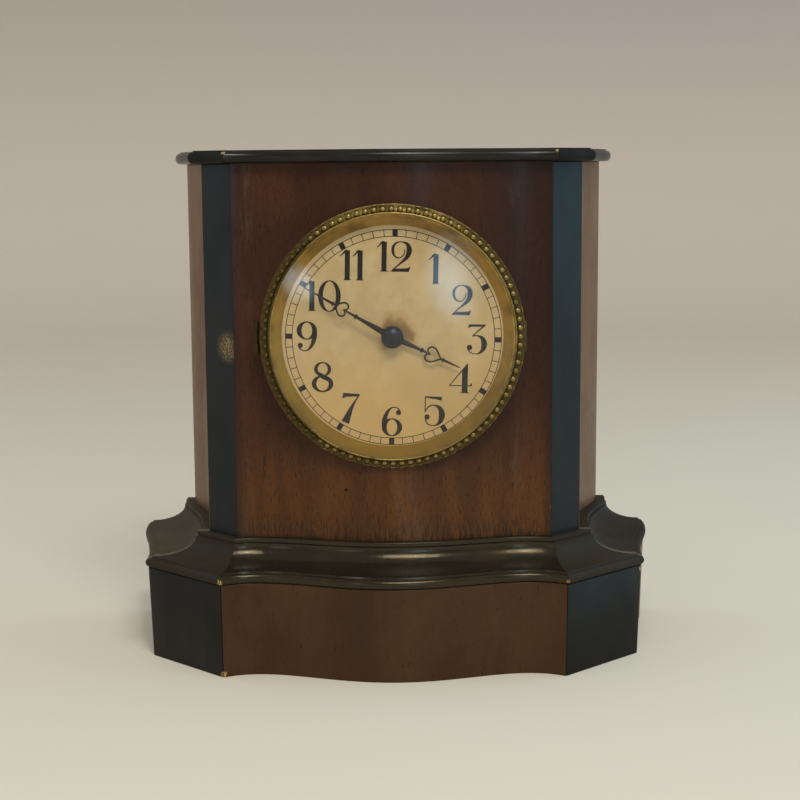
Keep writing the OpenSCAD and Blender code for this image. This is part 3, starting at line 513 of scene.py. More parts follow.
cove_profile = (
    [(0, PLINTH_TOP), (0, COVE_TOP)]
    + arc((FILLET_OUT - EASE_SHARE, COVE_TOP - EASE_UP), (EASE_SHARE, EASE_UP), 90, 0, 5)
    + arc((FILLET_OUT - EASE_SHARE, COVE_TOP - FILLET_HIGH + EASE_UP), (EASE_SHARE, EASE_UP), 0, -60, 4)
    + [(COVE_TO - (COVE_TO - COVE_FROM) * math.cos(a),
        COVE_TOP - FILLET_HIGH - FILLET_STEP - COVE_DROP * math.sin(a))
       for a in (math.pi / 2 * i / 28 for i in range(29))]
    + arc((NOSE_AT, PLINTH_TOP + 0.1 * MM + NOSE_HALF), (NOSE_OUT, NOSE_HALF), 100, -80, 24)
    + [(0.97, PLINTH_TOP)])
MITRE_X, MITRE_REST = PLINTH_HALF + 0.4 * MM, (-PLINTH_FRONT - 1.3 * MM, PLINTH_TOP + 1.8 * MM)
MITRE_CHIPS = [((-MITRE_X, *MITRE_REST), 1.9 * MM), ((MITRE_X, *MITRE_REST), 1.3 * MM)]
cove_black = ebonised_wood("ebonised_cove", 0.11, 0.42, (0.0145, 0.0115, 0.0078), 0.6, MITRE_CHIPS,
                           sheen=(1.0, 0.86, 0.58), ripple_depth=0.0009)
piece("cove_front_moulding", moulding(front_run, cove_profile), cove_black, "case", "cove_front")
# Dusty black side lengths; the left one is painted much lighter, a painted reflection at its grazing angle.
for side, dust_and_painted_light in (("right", (0.0150, 0.0115, 0.0070)), ("left", (0.0500, 0.0410, 0.0225))):
    piece(f"cove_{side}_moulding", moulding(side_run, cove_profile, side == "left"),
          ebonised_wood("ebonised_cove_" + side, 0.55, 0.16, dust_and_painted_light, 0.6, rub_and_highlight_to=6 * MM), "case",
          "cove_" + side)
corners = [moulding(corner_run, cove_profile, left) for left in (False, True)]
corner_black = ebonised_wood("ebonised_cove_corner", 0.50, 0.12, (0.0255, 0.0205, 0.0125), 0.5, MITRE_CHIPS)
piece("cove_corner_pieces", joined(corners), corner_black, "case", "cove_corners")

# Front panel: one shaped board, bowed in the middle and hollow at its ends, cut through for the dial pan and
# faced with a dark reddish veneer laid upright. Painted shade darkens its upper right, and painted light
# bounced from the floor turns it orange low down.
CASE_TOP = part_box("front_panel")[1].z
PANEL_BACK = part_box("front_panel")[1].y
PAN_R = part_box("dial_pan")[1].x
HOLE_R = PAN_R + 0.1 * MM
DIAL_Z = (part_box("dial")[0].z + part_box("dial")[1].z) / 2
STRIP_THICK = 5 * MM
cant = case_side(-CASE_SIDE_AT) - case_front(1)
cant_in = Vector((-cant.y, cant.x)).normalized() * STRIP_THICK
strip_front, strip_back = case_front(1) + cant_in, case_side(-CASE_SIDE_AT) + cant_in


def panel_front(x):
    return case_front(max(-1.0, min(1.0, x / CASE_HALF))).y


def panel_mesh(ring_steps=26, side_count=44):
    """The board as rings of points, from the dial hole out to its square edge, then back round it."""
    half, low, high = CASE_HALF - SEAM, PLINTH_TOP, CASE_TOP
    corners = [(half, low), (half, high), (-half, high), (-half, low)]
    rim = [(between(a[0], b[0], i / side_count), between(a[1], b[1], i / side_count))
           for a, b in zip(corners, corners[1:] + corners[:1]) for i in range(side_count)]
    form = bmesh.new()
    rings = []
    narrow = strip_front.x / CASE_HALF
    turns = [math.atan2(z - DIAL_Z, x) for x, z in rim]
    hole = [(HOLE_R * math.cos(a), DIAL_Z + HOLE_R * math.sin(a)) for a in turns]
    for i in range(ring_steps + 1):
        share = (i / ring_steps) ** 1.15
        flat = [(between(h[0], r[0], share), between(h[1], r[1], share)) for h, r in zip(hole, rim)]
        rings.append([form.verts.new((x, panel_front(x), z)) for x, z in flat])
    rings.append([form.verts.new((x * narrow, max(panel_front(x) + 4 * MM, strip_front.y), z))
                  for x, z in rim])
    rings.append([form.verts.new((x * narrow, PANEL_BACK, z)) for x, z in rim])
    rings.append([form.verts.new((x, PANEL_BACK, z)) for x, z in hole])
    cover(form, rings + rings[:1])
    return mesh_from(form, 30)


def panel_marks_and_painted_light(place, tone, grain):
    """Orange low on the panel, painted light that stands for light bounced from the floor; dirt along its
    foot;
    painted shade at the upper right; pale runs, a painted sheen of reflections in the polish; and dark ends."""
    height, x = place.axis("Z"), place.axis("X")
    # Painted light: orange low down, for light bounced up from the floor.
    painted_bounce = height.spread(0.135, 0.080) * (grain["Figure"].spread(0.40, 0.66) * 0.35 + 0.45)
    dirt = height.spread(0.079, 0.0655) * grain["Fibre"].spread(0.42, 0.62) * 0.75
    # Painted shade at the upper right.
    painted_shade = x.spread(0.020, 0.065) * height.spread(0.150, 0.215, 0.0, 0.55)
    # Painted reflection: pale runs of sheen in the polish.
    dull = noise(place * (1, 1, 0.16), 62.0, 3.0, 0.6, 0.4).spread(0.58, 0.76, 0.0, 0.30)
    ends = x.work("ABSOLUTE").spread(CASE_HALF - 5 * MM, CASE_HALF) * 0.45
    return layered(tone, (painted_bounce, (0.115, 0.0440, 0.0095)), (dirt, (0.014, 0.009, 0.006)),
                   (painted_shade, (0.020, 0.0085, 0.0050)), (dull, (0.125, 0.085, 0.062)),
                   (ends, (0.016, 0.009, 0.007)))


front_veneer = polished_wood(
    "front_veneer", "veneer", ((0.022, 0.0068, 0.0030), (0.042, 0.0132, 0.0050), (0.070, 0.0215, 0.0070)),
    {"Along": (1, 1, 0.13), "Figure_Scale": 72.0, "Waviness": 0.7, "Pore_Share": 0.395}, 0.36, 0.12,
    marks_and_painted_light=panel_marks_and_painted_light, figure=0.42, fibre=0.32,
    holes=[((-23.3 * MM, -CASE_FRONT - 8.2 * MM, 90.1 * MM), 1.0 * MM)])
piece("front_panel_veneer", panel_mesh(), front_veneer, "case", "front_panel")

# Side panels: boards that swell outward to the back, veneered like the front but painted paler, a painted
# reflection of the bright backdrop.
# They run from the corner strip to the back board, which sits between them.
SIDE_THICK = 8 * MM


def on_case(run):
    return [inner for inner, outer in run]


def mirrored(points):
    return [Vector((-p.x, p.y)) for p in reversed(points)]


def slab(form, outline, low, high):
    """Adds a closed plate with this outline to the form."""
    rims = [[form.verts.new((x, y, z)) for x, y in outline] for z in (low, high)]
    form.faces.new(rims[0][::-1])
    form.faces.new(rims[1])
    cover(form, rims)


def board(outline, low, high, ease):
    """A board with this plan outline between two heights, its edges eased."""
    form = bmesh.new()
    slab(form, outline, low, high)
    return eased(mesh_from(form), ease)


outer = on_case(side_run)
outer[0] = outer[0].lerp(outer[1], SEAM / (outer[1] - outer[0]).length)
inner = [Vector((p.x - SIDE_THICK, p.y)) for p in outer if p.y > strip_back.y]
outline = outer + inner[::-1] + [Vector((CASE_SIDE - SIDE_THICK, strip_back.y)), strip_back]
for side, points in (("right", outline), ("left", mirrored(outline))):
    piece(f"side_panel_{side}_veneer", board(points, PLINTH_TOP, CASE_TOP, 0.35 * MM), side_veneer, "case",
          "side_panel_" + side)

# Corner strips: flat ebonised lengths let in across the front corners, from the cove to the top, and the
# softwood posts behind them that hold front and sides together. The left one is scuffed beside the dial.
# The blue cast in the strips' black is a painted reflection of the windows.
strip_black = ebonised_wood("ebonised_strip", 0.40, 0.27, (0.0036, 0.0052, 0.0060), 0.12, edge=0.3,
                            scuff=((-81.5 * MM, -31.9 * MM, 160 * MM), 9.5 * MM))
outline = [case_front(1), case_side(-CASE_SIDE_AT), strip_back, strip_front]
for side, points in (("right", outline), ("left", mirrored(outline))):
    piece(f"corner_strip_{side}_black", board(points, PLINTH_TOP, CASE_TOP, 0.45 * MM), strip_black, "case",
          "corner_strip_" + side)
wear_finish("corner_posts", pine)

# Top: a thin ebonised board edged with a small round-nosed moulding, in the same lengths as the cove below.
# Dust lies on it, and the polish is knocked off where the front length meets the corners.
CLOCK_TOP = cad_box[1].z
TOP_OUT = 6.2 * MM
TOP_MITRE = 0.414
LEDGE_AT, LEDGE_DROP, ROLL_AT = 0.6, 0.5 * MM, 0.62


def top_front(u):
    return Vector((u * (CASE_HALF + TOP_MITRE * TOP_OUT), case_front(u).y - TOP_OUT))


top_front_run = stations(FRONT_STEPS, lambda s: case_front(2 * s - 1), lambda s: top_front(2 * s - 1))
top_side_run = stations(SIDE_STEPS, lambda s: case_side(between(-CASE_SIDE_AT, BACK, s)),
                        lambda s: case_side(between(-CASE_SIDE_AT - TOP_MITRE * TOP_OUT, BACK, s))
                        + Vector((TOP_OUT, 0)))
top_corner_run = stations(4, lambda s: case_front(1).lerp(case_side(-CASE_SIDE_AT), s),
                          lambda s: top_front(1).lerp(Vector((CASE_SIDE + TOP_OUT,
                                                              -CASE_SIDE_AT - TOP_MITRE * TOP_OUT)), s))
top_profile = (
    [(0, CASE_TOP), (0, CLOCK_TOP)] + arc((LEDGE_AT - 0.05, CLOCK_TOP - 0.3 * MM), (0.05, 0.3 * MM), 90, 0, 5)
    + [(LEDGE_AT, CLOCK_TOP - LEDGE_DROP)]
    + arc((ROLL_AT, CASE_TOP + 2.9 * MM), (0.38, 2.8 * MM), 84, -84, 24) + [(0.4, CASE_TOP)])
TOP_CHIP_REST = (-CASE_FRONT - 4.5 * MM, CLOCK_TOP - 1.2 * MM)
TOP_CHIPS = [((-CASE_HALF - 2.5 * MM, *TOP_CHIP_REST), 1.3 * MM),
             ((CASE_HALF + 1.5 * MM, *TOP_CHIP_REST), 1.1 * MM)]
top_black = ebonised_wood("ebonised_top", 0.24, 0.2, (0.0070, 0.0058, 0.0045), 0.4, TOP_CHIPS, coat=0.15)
top_corner_black = ebonised_wood("ebonised_top_corner", 0.52, 0.12, chips=TOP_CHIPS)
piece("top_moulding_front_black", moulding(top_front_run, top_profile), top_black, "case",
      "top_moulding_front")
for side in ("right", "left"):
    piece(f"top_moulding_{side}_black", moulding(top_side_run, top_profile, side == "left"), top_black,
          "case", "top_moulding_" + side)
corners = [moulding(top_corner_run, top_profile, left) for left in (False, True)]
piece("top_moulding_corner_pieces", joined(corners), top_corner_black, "case", "top_moulding_corners")
sides = on_case(top_side_run)
outline = on_case(top_front_run) + sides + mirrored(sides)
piece("top_board_black", board(outline, CASE_TOP, CLOCK_TOP, 0.2 * MM), top_black, "case", "top_board")

# Back: a softwood board between the sides with a veneered door in it, hung on two brass butt hinges and
# held by a turn button. A turned brass knob opens it.


def finished(name, material, body, width):
    """A copy of a CAD node with its loose triangles joined and its edges eased, which stands for the node."""
    form = bmesh.new()
    form.from_mesh(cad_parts[name].data)
    bmesh.ops.remove_doubles(form, verts=form.verts, dist=2e-6)
    bmesh.ops.dissolve_limit(form, angle_limit=math.radians(0.6), verts=form.verts, edges=form.edges)
    piece(name + "_finished", eased(mesh_from(form, 30), width), material, body, name)


finished("back_board", pine, "case", 0.5 * MM)
door_veneer = polished_wood(
    "door_veneer", "side_veneer", ((0.060, 0.030, 0.015), (0.105, 0.055, 0.026), (0.150, 0.082, 0.038)),
    {"Along": (1, 1, 0.06), "Figure_Scale": 70.0, "Waviness": 0.6, "Pore_Share": 0.35}, 0.46, 0.25)
finished("back_door", door_veneer, "back_door", 0.5 * MM)

# Tarnish: old brass is bright only where it is rubbed. Its last input gives how deep in a hollow the
# surface lies, and on the bezel it also carries painted shade and painted light.
tarnish, (spot, scale, amount, low) = effect("Tarnish", Vector=(0, 0, 0), Scale=60.0, Amount=0.5, Low=0.0)
level = 0.85 - amount * 0.5
clouds = noise(spot, scale, 6.0, 0.65) + low * 0.5
put_out(tarnish, Mask=clouds.spread(level - 0.16, level + 0.16),
        Spots=noise(spot, scale * 9.0, 3.0, 0.6).spread(0.66, 0.74),
        Brush=noise(spot * (1, 1, 0.04), 1800.0, 2.0, 0.6))


def metal(name, slot, bright, dull, roughness, amount, spots, scale=60.0, low=None, metallic=1.0, grain=0.2):
    """Metal in two tones. The low argument is a function of the place that gives how deep in a hollow it
    lies, and for the bezel also where painted shade and painted light fall.
    """
    made, place = finish(name, slot, Metallic=metallic)
    skin = use(tarnish, place, Scale=scale, Amount=amount, Low=low(place) if low else 0.0)
    tone = layered(bright, (skin["Mask"], dull))
    rough = skin["Mask"] * 0.22 + roughness
    if spots:
        tone = layered(tone, (skin["Spots"] * spots, tuple(c * 0.3 for c in dull)))
    if grain:
        rough = rough + skin["Brush"] * 0.10
        wire_up(made, Normal=bump(skin["Brush"], grain, 0.00004))
    return wire_up(made, Base_Color=tone, Roughness=rough)


case_brass = metal("case_brass", "brass", (0.62, 0.43, 0.17), (0.20, 0.125, 0.045), 0.24, 0.5, 0.6, 90.0)
for name, body in (("door_hinges", "case"), ("door_hinge_leaves", "back_door"), ("door_catch", "door_catch")):
    finished(name, case_brass, body, 0.12 * MM)


def turned(profile, segments=96, sharp=35):
    """Spins a closed profile of radius and height round the Z axis."""
    form = bmesh.new()
    rings = []
    for radius, height in profile:
        turns = [math.tau * i / segments for i in range(segments)] if radius > 1e-7 else [0]
        rings.append([form.verts.new((radius * math.cos(a), radius * math.sin(a), height)) for a in turns])
    for a, b in zip(rings, rings[1:] + rings[:1]):
        for i in range(segments):
            j = (i + 1) % segments
            corners = list(dict.fromkeys((a[i % len(a)], a[j % len(a)], b[j % len(b)], b[i % len(b)])))
            if len(corners) > 2:
                form.faces.new(corners)
    return mesh_from(form, sharp)


knob_low, knob_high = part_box("door_knob")
KNOB_OUT = knob_high.y - knob_low.y
knob_profile = ([(0, 0), (4.0 * MM, 0), (4.0 * MM, 0.35 * MM), (3.6 * MM, 0.6 * MM), (1.7 * MM, 0.75 * MM),
                 (1.5 * MM, 1.2 * MM)]
                + [(KNOB_OUT * 0.62 * math.cos(a), KNOB_OUT - 2.05 * MM + 2.05 * MM * math.sin(a))
                   for a in (math.radians(-50 + 140 * i / 20) for i in range(20))] + [(0, KNOB_OUT)])
knob = turned(knob_profile)
knob.transform(Matrix.Translation(((knob_low.x + knob_high.x) / 2, knob_low.y,
                                   (knob_low.z + knob_high.z) / 2)) @ Matrix.Rotation(-math.pi / 2, 4, "X"))
piece("door_knob_turned", knob, case_brass, "back_door", "door_knob")

# Dial pan: a shallow spun brass pan let into the panel. Its floor carries the dial and, on three feet
# behind, the movement. Four small screws hold the dial, out of sight under the ring of the bezel.
pan_brass = metal("pan_brass", "brass", (0.46, 0.31, 0.12), (0.13, 0.085, 0.035), 0.34, 0.6, 0.5)
finished("dial_pan", pan_brass, "case", 0.15 * MM)
finished("case_screws", case_brass, "case", 0.12 * MM)

# Dial: a painted metal disc, cream gone to tan, stained brown round the centre where oil has crept out and
# warmer towards the foot. The numerals and the minute track are printed in black.
DIAL_FACE, DIAL_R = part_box("dial")[0].y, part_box("dial")[1].x
DIAL_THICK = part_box("dial")[1].y - DIAL_FACE
DIAL_BORE = 4.2 * MM
STAIN_AT = (1.6 * MM, 0, 1.1 * MM)
dial_paint, place = finish("aged_dial", "dial_face", Specular_IOR_Level=0.3)
flat = place - (0, DIAL_FACE, DIAL_Z)
mottle = noise(place, 85.0, 6.0, 0.62)
creep = flat.work("DISTANCE", STAIN_AT) + (noise(place, 130.0, 4.0) - 0.5) * 0.014
wire_up(dial_paint, Roughness=mottle.spread(0.3, 0.7, 0.42, 0.60), Normal=bump(mottle, 0.12, 0.0001))
wire_up(dial_paint, Base_Color=layered(
    (0.450, 0.322, 0.149), (mottle.spread(0.36, 0.66), (0.515, 0.384, 0.198)),
    (flat.axis("Z").spread(0.012, -0.050, 0.0, 0.80), (0.505, 0.302, 0.090)),
    (noise(place, 24.0, 3.0, 0.5).spread(0.50, 0.66, 0.0, 0.60), (0.410, 0.277, 0.116)),
    (creep.spread(0.0125, 0.0055, 0.0, 0.60), (0.375, 0.220, 0.060)),
    (creep.spread(0.0085, 0.0045, 0.0, 0.75), (0.150, 0.078, 0.018)),
    (flat.work("LENGTH").spread(0.0470, 0.0560, 0.0, 0.30), (0.430, 0.325, 0.190)),
    (noise(place, 300.0, 4.0, 0.65).spread(0.57, 0.74, 0.0, 0.6), (0.45, 0.265, 0.09)),
    (noise(place, 1300.0, 2.0, 0.5).spread(0.66, 0.74, 0.0, 0.55), (0.22, 0.14, 0.07))))


def facing(mesh, depth):
    """Stands a mesh drawn in the XY plane upright on the dial's centre, facing the viewer, at this depth."""
    mesh.transform(Matrix.Translation((0, depth, DIAL_Z)) @ Matrix.Rotation(math.pi / 2, 4, "X"))
    return mesh


dial_profile = [(DIAL_BORE, 0), (DIAL_R, 0), (DIAL_R, DIAL_THICK - 0.15 * MM),
                (DIAL_R - 0.15 * MM, DIAL_THICK), (DIAL_BORE + 0.1 * MM, DIAL_THICK),
                (DIAL_BORE, DIAL_THICK - 0.1 * MM)]
piece("dial_face", facing(turned(dial_profile, 160), DIAL_FACE + DIAL_THICK), dial_paint, "case", "dial")

# Print of the dial: two fine circles with a line for each minute and a block for each fifth, and upright
# numerals with thick stems, hairlines and round ends. Digits are drawn in thousandths of their height.
INK_THICK = 0.03 * MM
TRACK_OUT, TRACK_IN, TRACK_LINE = 52.4 * MM, 49.1 * MM, 0.36 * MM
MINUTE_LINE, BLOCK = 0.36 * MM, (2.55 * MM, 3.5 * MM)
DIGIT_UNIT, DIGIT_GAP = 14.6 * MM / 1000, 60
PRINT_AT = Matrix.Translation((0.45 * MM, -0.8 * MM, 0)) @ Matrix.Rotation(math.radians(-1.35), 4, "Z")
ink, place = finish("printed_black", "dial_face", Specular_IOR_Level=0.15)
wire_up(ink, Base_Color=layered((0.0035, 0.0023, 0.0019),
                                (noise(place, 900.0, 3.0, 0.6), (0.0105, 0.0060, 0.0042))),
        Roughness=noise(place, 220.0).spread(0.3, 0.7, 0.40, 0.62))


def curve_through(points, steps=10):
    """A smooth line through points of any size, such as x, y and width."""
    points = [Vector(p) for p in points]
    points = [2 * points[0] - points[1]] + points + [2 * points[-1] - points[-2]]
    line = []
    for a, b, c, d in zip(points, points[1:], points[2:], points[3:]):
        for i in range(steps):
            t = i / steps
            line.append(0.5 * (2 * b + (c - a) * t + (2 * a - 5 * b + 4 * c - d) * t * t
                               + (3 * b - a - 3 * c + d) * t ** 3))
    return line + [points[-2]]


def stroke(*points):
    """Outline of a pen stroke through x, y and width. The press spreads broad strokes more than hairlines."""
    line = curve_through([(x, y, wide * (1.18 if wide > 80 else 1.08)) for x, y, wide in points])
    sides = ([], [])
    for i, p in enumerate(line):
        along = (line[min(i + 1, len(line) - 1)] - line[max(i - 1, 0)]).to_2d().normalized()
        for side, sign in zip(sides, (1, -1)):
            side.append((p.x - sign * along.y * p.z / 2, p.y + sign * along.x * p.z / 2))
    return sides[0] + sides[1][::-1]


def disc(x, y, radius, steps=28):
    return arc((x, y), (radius, radius), 0, 360 - 360 / steps, steps - 1)


def ring_halves(x, y, wide, high, thick, thin):
    """An upright ring in two halves, thick at its sides and thin above and below."""
    halves = []
    for start in (-90, 90):
        outside = arc((x, y), (wide, high), start, start + 180, 32)
        inside = arc((x, y), (wide - thick, high - thin), start + 180, start, 32)
        halves.append(outside + inside)
    return halves


def oblong(x0, y0, x1, y1):
    return [(x0, y0), (x1, y0), (x1, y1), (x0, y1)]


six = ring_halves(350, 300, 340, 305, 165, 40) + [
    stroke((85, 300, 130), (95, 520, 135), (175, 780, 100), (310, 945, 50), (440, 975, 35), (560, 925, 40),
           (600, 840, 50)), disc(565, 800, 88)]
DIGITS = {
    "0": (740, ring_halves(370, 500, 375, 525, 160, 36)),
    "1": (360, [oblong(125, 10, 295, 985), oblong(90, 0, 335, 30),
                stroke((-30, 795, 30), (50, 865, 40), (140, 965, 60), (210, 985, 30))]),
    "2": (700, [stroke((470, 740, 30), (445, 580, 35), (300, 455, 35), (125, 535, 60), (75, 760, 85),
                       (170, 935, 55), (360, 985, 35), (550, 910, 95), (615, 715, 150), (545, 490, 115),
                       (320, 270, 55), (70, 50, 35)),
                [(0, 0), (610, 0), (665, 160), (635, 160), (555, 120), (100, 100)]]),
    "3": (680, [[(40, 860), (75, 1000), (660, 1000), (580, 925), (140, 915)],
                stroke((610, 970, 50), (400, 790, 40), (200, 600, 35)),
                stroke((200, 600, 35), (360, 625, 40), (530, 540, 110), (600, 340, 165), (530, 120, 100),
                       (360, 15, 35), (150, 60, 35), (45, 200, 40)), disc(115, 225, 90)]),
    "4": (760, [[(420, 0), (615, 0), (615, 1000), (420, 780)],
                stroke((600, 975, 45), (310, 620, 35), (15, 260, 30)),
                oblong(0, 235, 760, 268), [(680, 250), (765, 250), (740, 360)], oblong(375, 0, 660, 30)]),
    "5": (680, [[(30, 955), (35, 1000), (590, 985), (585, 845), (480, 885)], oblong(20, 460, 55, 980),
                stroke((35, 480, 30), (150, 645, 40), (340, 700, 45), (530, 595, 120), (600, 360, 175),
                       (530, 130, 110), (360, 15, 35), (140, 60, 35), (40, 220, 40)), disc(105, 300, 90)]),
    "6": (700, six),
    "7": (620, [[(0, 820), (35, 1000), (600, 965), (550, 885), (120, 865), (40, 820)],
                stroke((575, 945, 35), (420, 700, 60), (265, 380, 135), (115, 0, 230))]),
    "8": (700, ring_halves(350, 765, 285, 245, 120, 45) + ring_halves(350, 275, 360, 285, 155, 50)
          + [stroke((160, 660, 80), (330, 535, 130), (560, 410, 100))]),
    "9": (700, [[(700 - x, 1000 - y) for x, y in outline] for outline in six])}
NUMERALS = {"12": 39.4, "1": 39.0, "2": 37.9, "3": 40.3, "4": 38.2, "5": 41.0, "6": 40.9, "7": 39.9,
            "8": 39.4, "9": 42.0, "10": 39.6, "11": 40.3}
form = bmesh.new()
for text, radius in NUMERALS.items():
    turn = math.radians(90 - 30 * int(text))
    left = -(sum(DIGITS[d][0] for d in text) + DIGIT_GAP * (len(text) - 1)) / 2
    for digit in text:
        for outline in DIGITS[digit][1]:
            slab(form, [(radius * MM * math.cos(turn) + (x + left) * DIGIT_UNIT,
                         radius * MM * math.sin(turn) + (y - 500) * DIGIT_UNIT) for x, y in outline],
                 0, INK_THICK)
        left += DIGITS[digit][0] + DIGIT_GAP
numerals = mesh_from(form, 20)
numerals.transform(PRINT_AT)
piece("dial_numerals", facing(numerals, DIAL_FACE), ink, "case")

# Ring of pieces: copies of one piece at even steps round a circle, each turned to face out from the centre.
ring_tree = bpy.data.node_groups.new("Ring of Pieces", "GeometryNodeTree")
ring_tree.interface.new_socket("Geometry", in_out="OUTPUT", socket_type="NodeSocketGeometry")
for label, kind in (("Piece", "Object"), ("Count", "Int"), ("Radius", "Float"), ("Material", "Material")):
    ring_tree.interface.new_socket(label, in_out="INPUT", socket_type="NodeSocket" + kind)
given = {socket.name: Wire(socket) for socket in ring_tree.nodes.new("NodeGroupInput").outputs if socket.name}
circle = wire_from(ring_tree, "GeometryNodeMeshCircle", {
    "Vertices": given["Count"], "Radius": given["Radius"]}, "Mesh")
step = wire_from(ring_tree, "ShaderNodeMath", {0: math.tau, 1: given["Count"]}, operation="DIVIDE")
number = wire_from(ring_tree, "GeometryNodeInputIndex")
angle = wire_from(ring_tree, "ShaderNodeMath", {0: number, 1: step}, operation="MULTIPLY")
facing_out = wire_from(ring_tree, "ShaderNodeCombineXYZ", {"Z": angle})
source = wire_from(ring_tree, "GeometryNodeObjectInfo", {"Object": given["Piece"]}, "Geometry")
copies = wire_from(ring_tree, "GeometryNodeInstanceOnPoints", {
    "Points": circle, "Instance": source, "Rotation": facing_out})
solid = wire_from(ring_tree, "GeometryNodeRealizeInstances", {0: copies})
clad = wire_from(ring_tree, "GeometryNodeSetMaterial", {"Geometry": solid, "Material": given["Material"]})
add_node(ring_tree, "NodeGroupOutput", {"Geometry": clad})


def ring_of(one, count, radius, material):
    """The mesh of a ring of copies of one mesh."""
    sample, holder = held(one), held(bpy.data.meshes.new("ring"))
    spin = holder.modifiers.new("ring", "NODES")
    spin.node_group = ring_tree
    for label, value in (("Piece", sample), ("Count", count), ("Radius", radius), ("Material", material)):
        spin[ring_tree.interface.items_tree[label].identifier] = value
    return as_seen(holder, sample)


def box_mesh(size, centre=(0, 0, 0)):
    form = bmesh.new()
    bmesh.ops.create_cube(form, size=1, matrix=Matrix.Translation(centre) @ Matrix.Diagonal((*size, 1)))
    return mesh_from(form)


middle = (TRACK_OUT + TRACK_IN) / 2
minute = box_mesh((TRACK_OUT - TRACK_IN, MINUTE_LINE, INK_THICK), (0, 0, INK_THICK / 2))
block = box_mesh((BLOCK[1], BLOCK[0], INK_THICK), (0, 0, INK_THICK / 2))
track = [ring_of(minute, 60, middle, ink), ring_of(block, 12, middle, ink)]
for radius in (TRACK_OUT, TRACK_IN):
    low, high = radius - TRACK_LINE / 2, radius + TRACK_LINE / 2
    track.append(turned([(low, 0), (high, 0), (high, INK_THICK), (low, INK_THICK)], 180))
track = joined(track)
track.transform(PRINT_AT)
piece("dial_minute_track", facing(track, DIAL_FACE), ink, "case")

# Bezel: spun from sheet brass, with a thin outer rim, a ring of raised beads and a wall that holds the glass.
# It opens on a hinge at nine o'clock and has a narrow thumb tab at three.
BEZEL_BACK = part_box("bezel")[1].y
BEZEL_R, BEZEL_IN, BEZEL_HIGH, FLANGE = 64.3 * MM, 59.2 * MM, 5.4 * MM, 2.9 * MM
BEAD_RING, BEAD_R, BEAD_COUNT = 61.6 * MM, 1.5 * MM, 92
BEAD_UP, BEAD_FLAT = FLANGE - 0.05 * MM, 0.85
DASH, TAB = (0.5 * MM, 2.5 * MM, 0.6 * MM), (1.2 * MM, 15 * MM, 1.5 * MM)


def bezel_hollows_and_shade(place):
    """Dirt lies deepest on the flange between the beads. Painted shade deepens the tarnish towards the hinge
    on the left, and painted light thins it at the top.
    """
    rise = place.axis("Y") - (BEZEL_BACK - BEAD_UP - BEAD_R * 0.15)
    # Painted shade: more tarnish towards the left.
    painted_shade_left = place.axis("X").spread(-25 * MM, -58 * MM, 0.0, 0.9)
    # Painted light: less tarnish at the top.
    return rise.spread(0.0, BEAD_R * 0.6) + painted_shade_left + place.axis("Z").spread(0.200, 0.226, 0.0, -0.6)


bezel_brass = metal("bezel_brass", "aged_brass", (0.30, 0.215, 0.075), (0.100, 0.070, 0.025), 0.33, 0.55, 0.6,
                    110.0, bezel_hollows_and_shade)
hinge_brass = metal("hinge_brass", "aged_brass", (0.060, 0.038, 0.020), (0.026, 0.017, 0.010), 0.42, 0.5, 0.6,
                    120.0)
bezel_profile = (
    [(BEZEL_IN, 0), (BEZEL_R - 0.3 * MM, 0)]
    + arc((BEZEL_R - 0.35 * MM, 0.35 * MM), (0.35 * MM, 0.35 * MM), -60, 0, 4)
    + arc((BEZEL_R - 0.45 * MM, FLANGE - 0.95 * MM), (0.45 * MM, 0.55 * MM), 0, 90, 6)
    + [(BEZEL_R - 1.2 * MM, FLANGE - 0.55 * MM), (BEZEL_IN + 1.3 * MM, FLANGE - 0.55 * MM)]
    + arc((BEZEL_IN + 1.45 * MM, FLANGE + 0.1 * MM), (0.45 * MM, 0.45 * MM), 250, 180, 4)
    + arc((BEZEL_IN + 0.5 * MM, BEZEL_HIGH - 0.5 * MM), (0.5 * MM, 0.5 * MM), 0, 180, 12))
form = bmesh.new()
bmesh.ops.create_uvsphere(form, u_segments=20, v_segments=12, radius=BEAD_R)
beads = ring_of(mesh_from(form, 60), BEAD_COUNT, BEAD_RING, bezel_brass)
beads.transform(Matrix.Translation((0, 0, BEAD_UP)) @ Matrix.Diagonal((1, 1, BEAD_FLAT, 1)))
dash = eased(box_mesh(DASH, (0, 0, FLANGE - 0.35 * MM)), 0.18 * MM)
dashes = ring_of(dash, BEAD_COUNT, BEZEL_R - 0.4 * MM, bezel_brass)
tab = eased(box_mesh(TAB, (BEZEL_R + TAB[0] / 2 - 0.6 * MM, 0, TAB[2] / 2)), 0.4 * MM, 3)
piece("bezel_beaded", facing(joined([turned(bezel_profile, 240, 40), beads, dashes, tab]), BEZEL_BACK),
      bezel_brass, "bezel")

# Hinge of the bezel: small brass, gone brown. A turned knuckle on an arm is soldered to the back of the rim,
# and turns on a pin between two knuckles that are fixed to the panel.
HINGE_R, PIN_R, KNUCKLE = 1.4 * MM, 0.6 * MM, 6 * MM
hinge_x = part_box("bezel_hinge")[0].x + HINGE_R
half, bore = KNUCKLE / 2, PIN_R + 0.05 * MM
knuckle = turned([(bore, -half), (HINGE_R - 0.15 * MM, -half), (HINGE_R, -half + 0.15 * MM),
                  (HINGE_R, half - 0.15 * MM), (HINGE_R - 0.15 * MM, half), (bore, half)], 40)
knuckle.transform(Matrix.Translation((hinge_x, BEZEL_BACK, DIAL_Z)))
arm = eased(box_mesh((2.4 * MM, 1.2 * MM, KNUCKLE), (hinge_x + 2.2 * MM, BEZEL_BACK - 0.6 * MM, DIAL_Z)),
            0.2 * MM)
piece("bezel_knuckle", joined([knuckle, arm]), hinge_brass, "bezel", "bezel")
finished("bezel_hinge", hinge_brass, "case", 0.12 * MM)
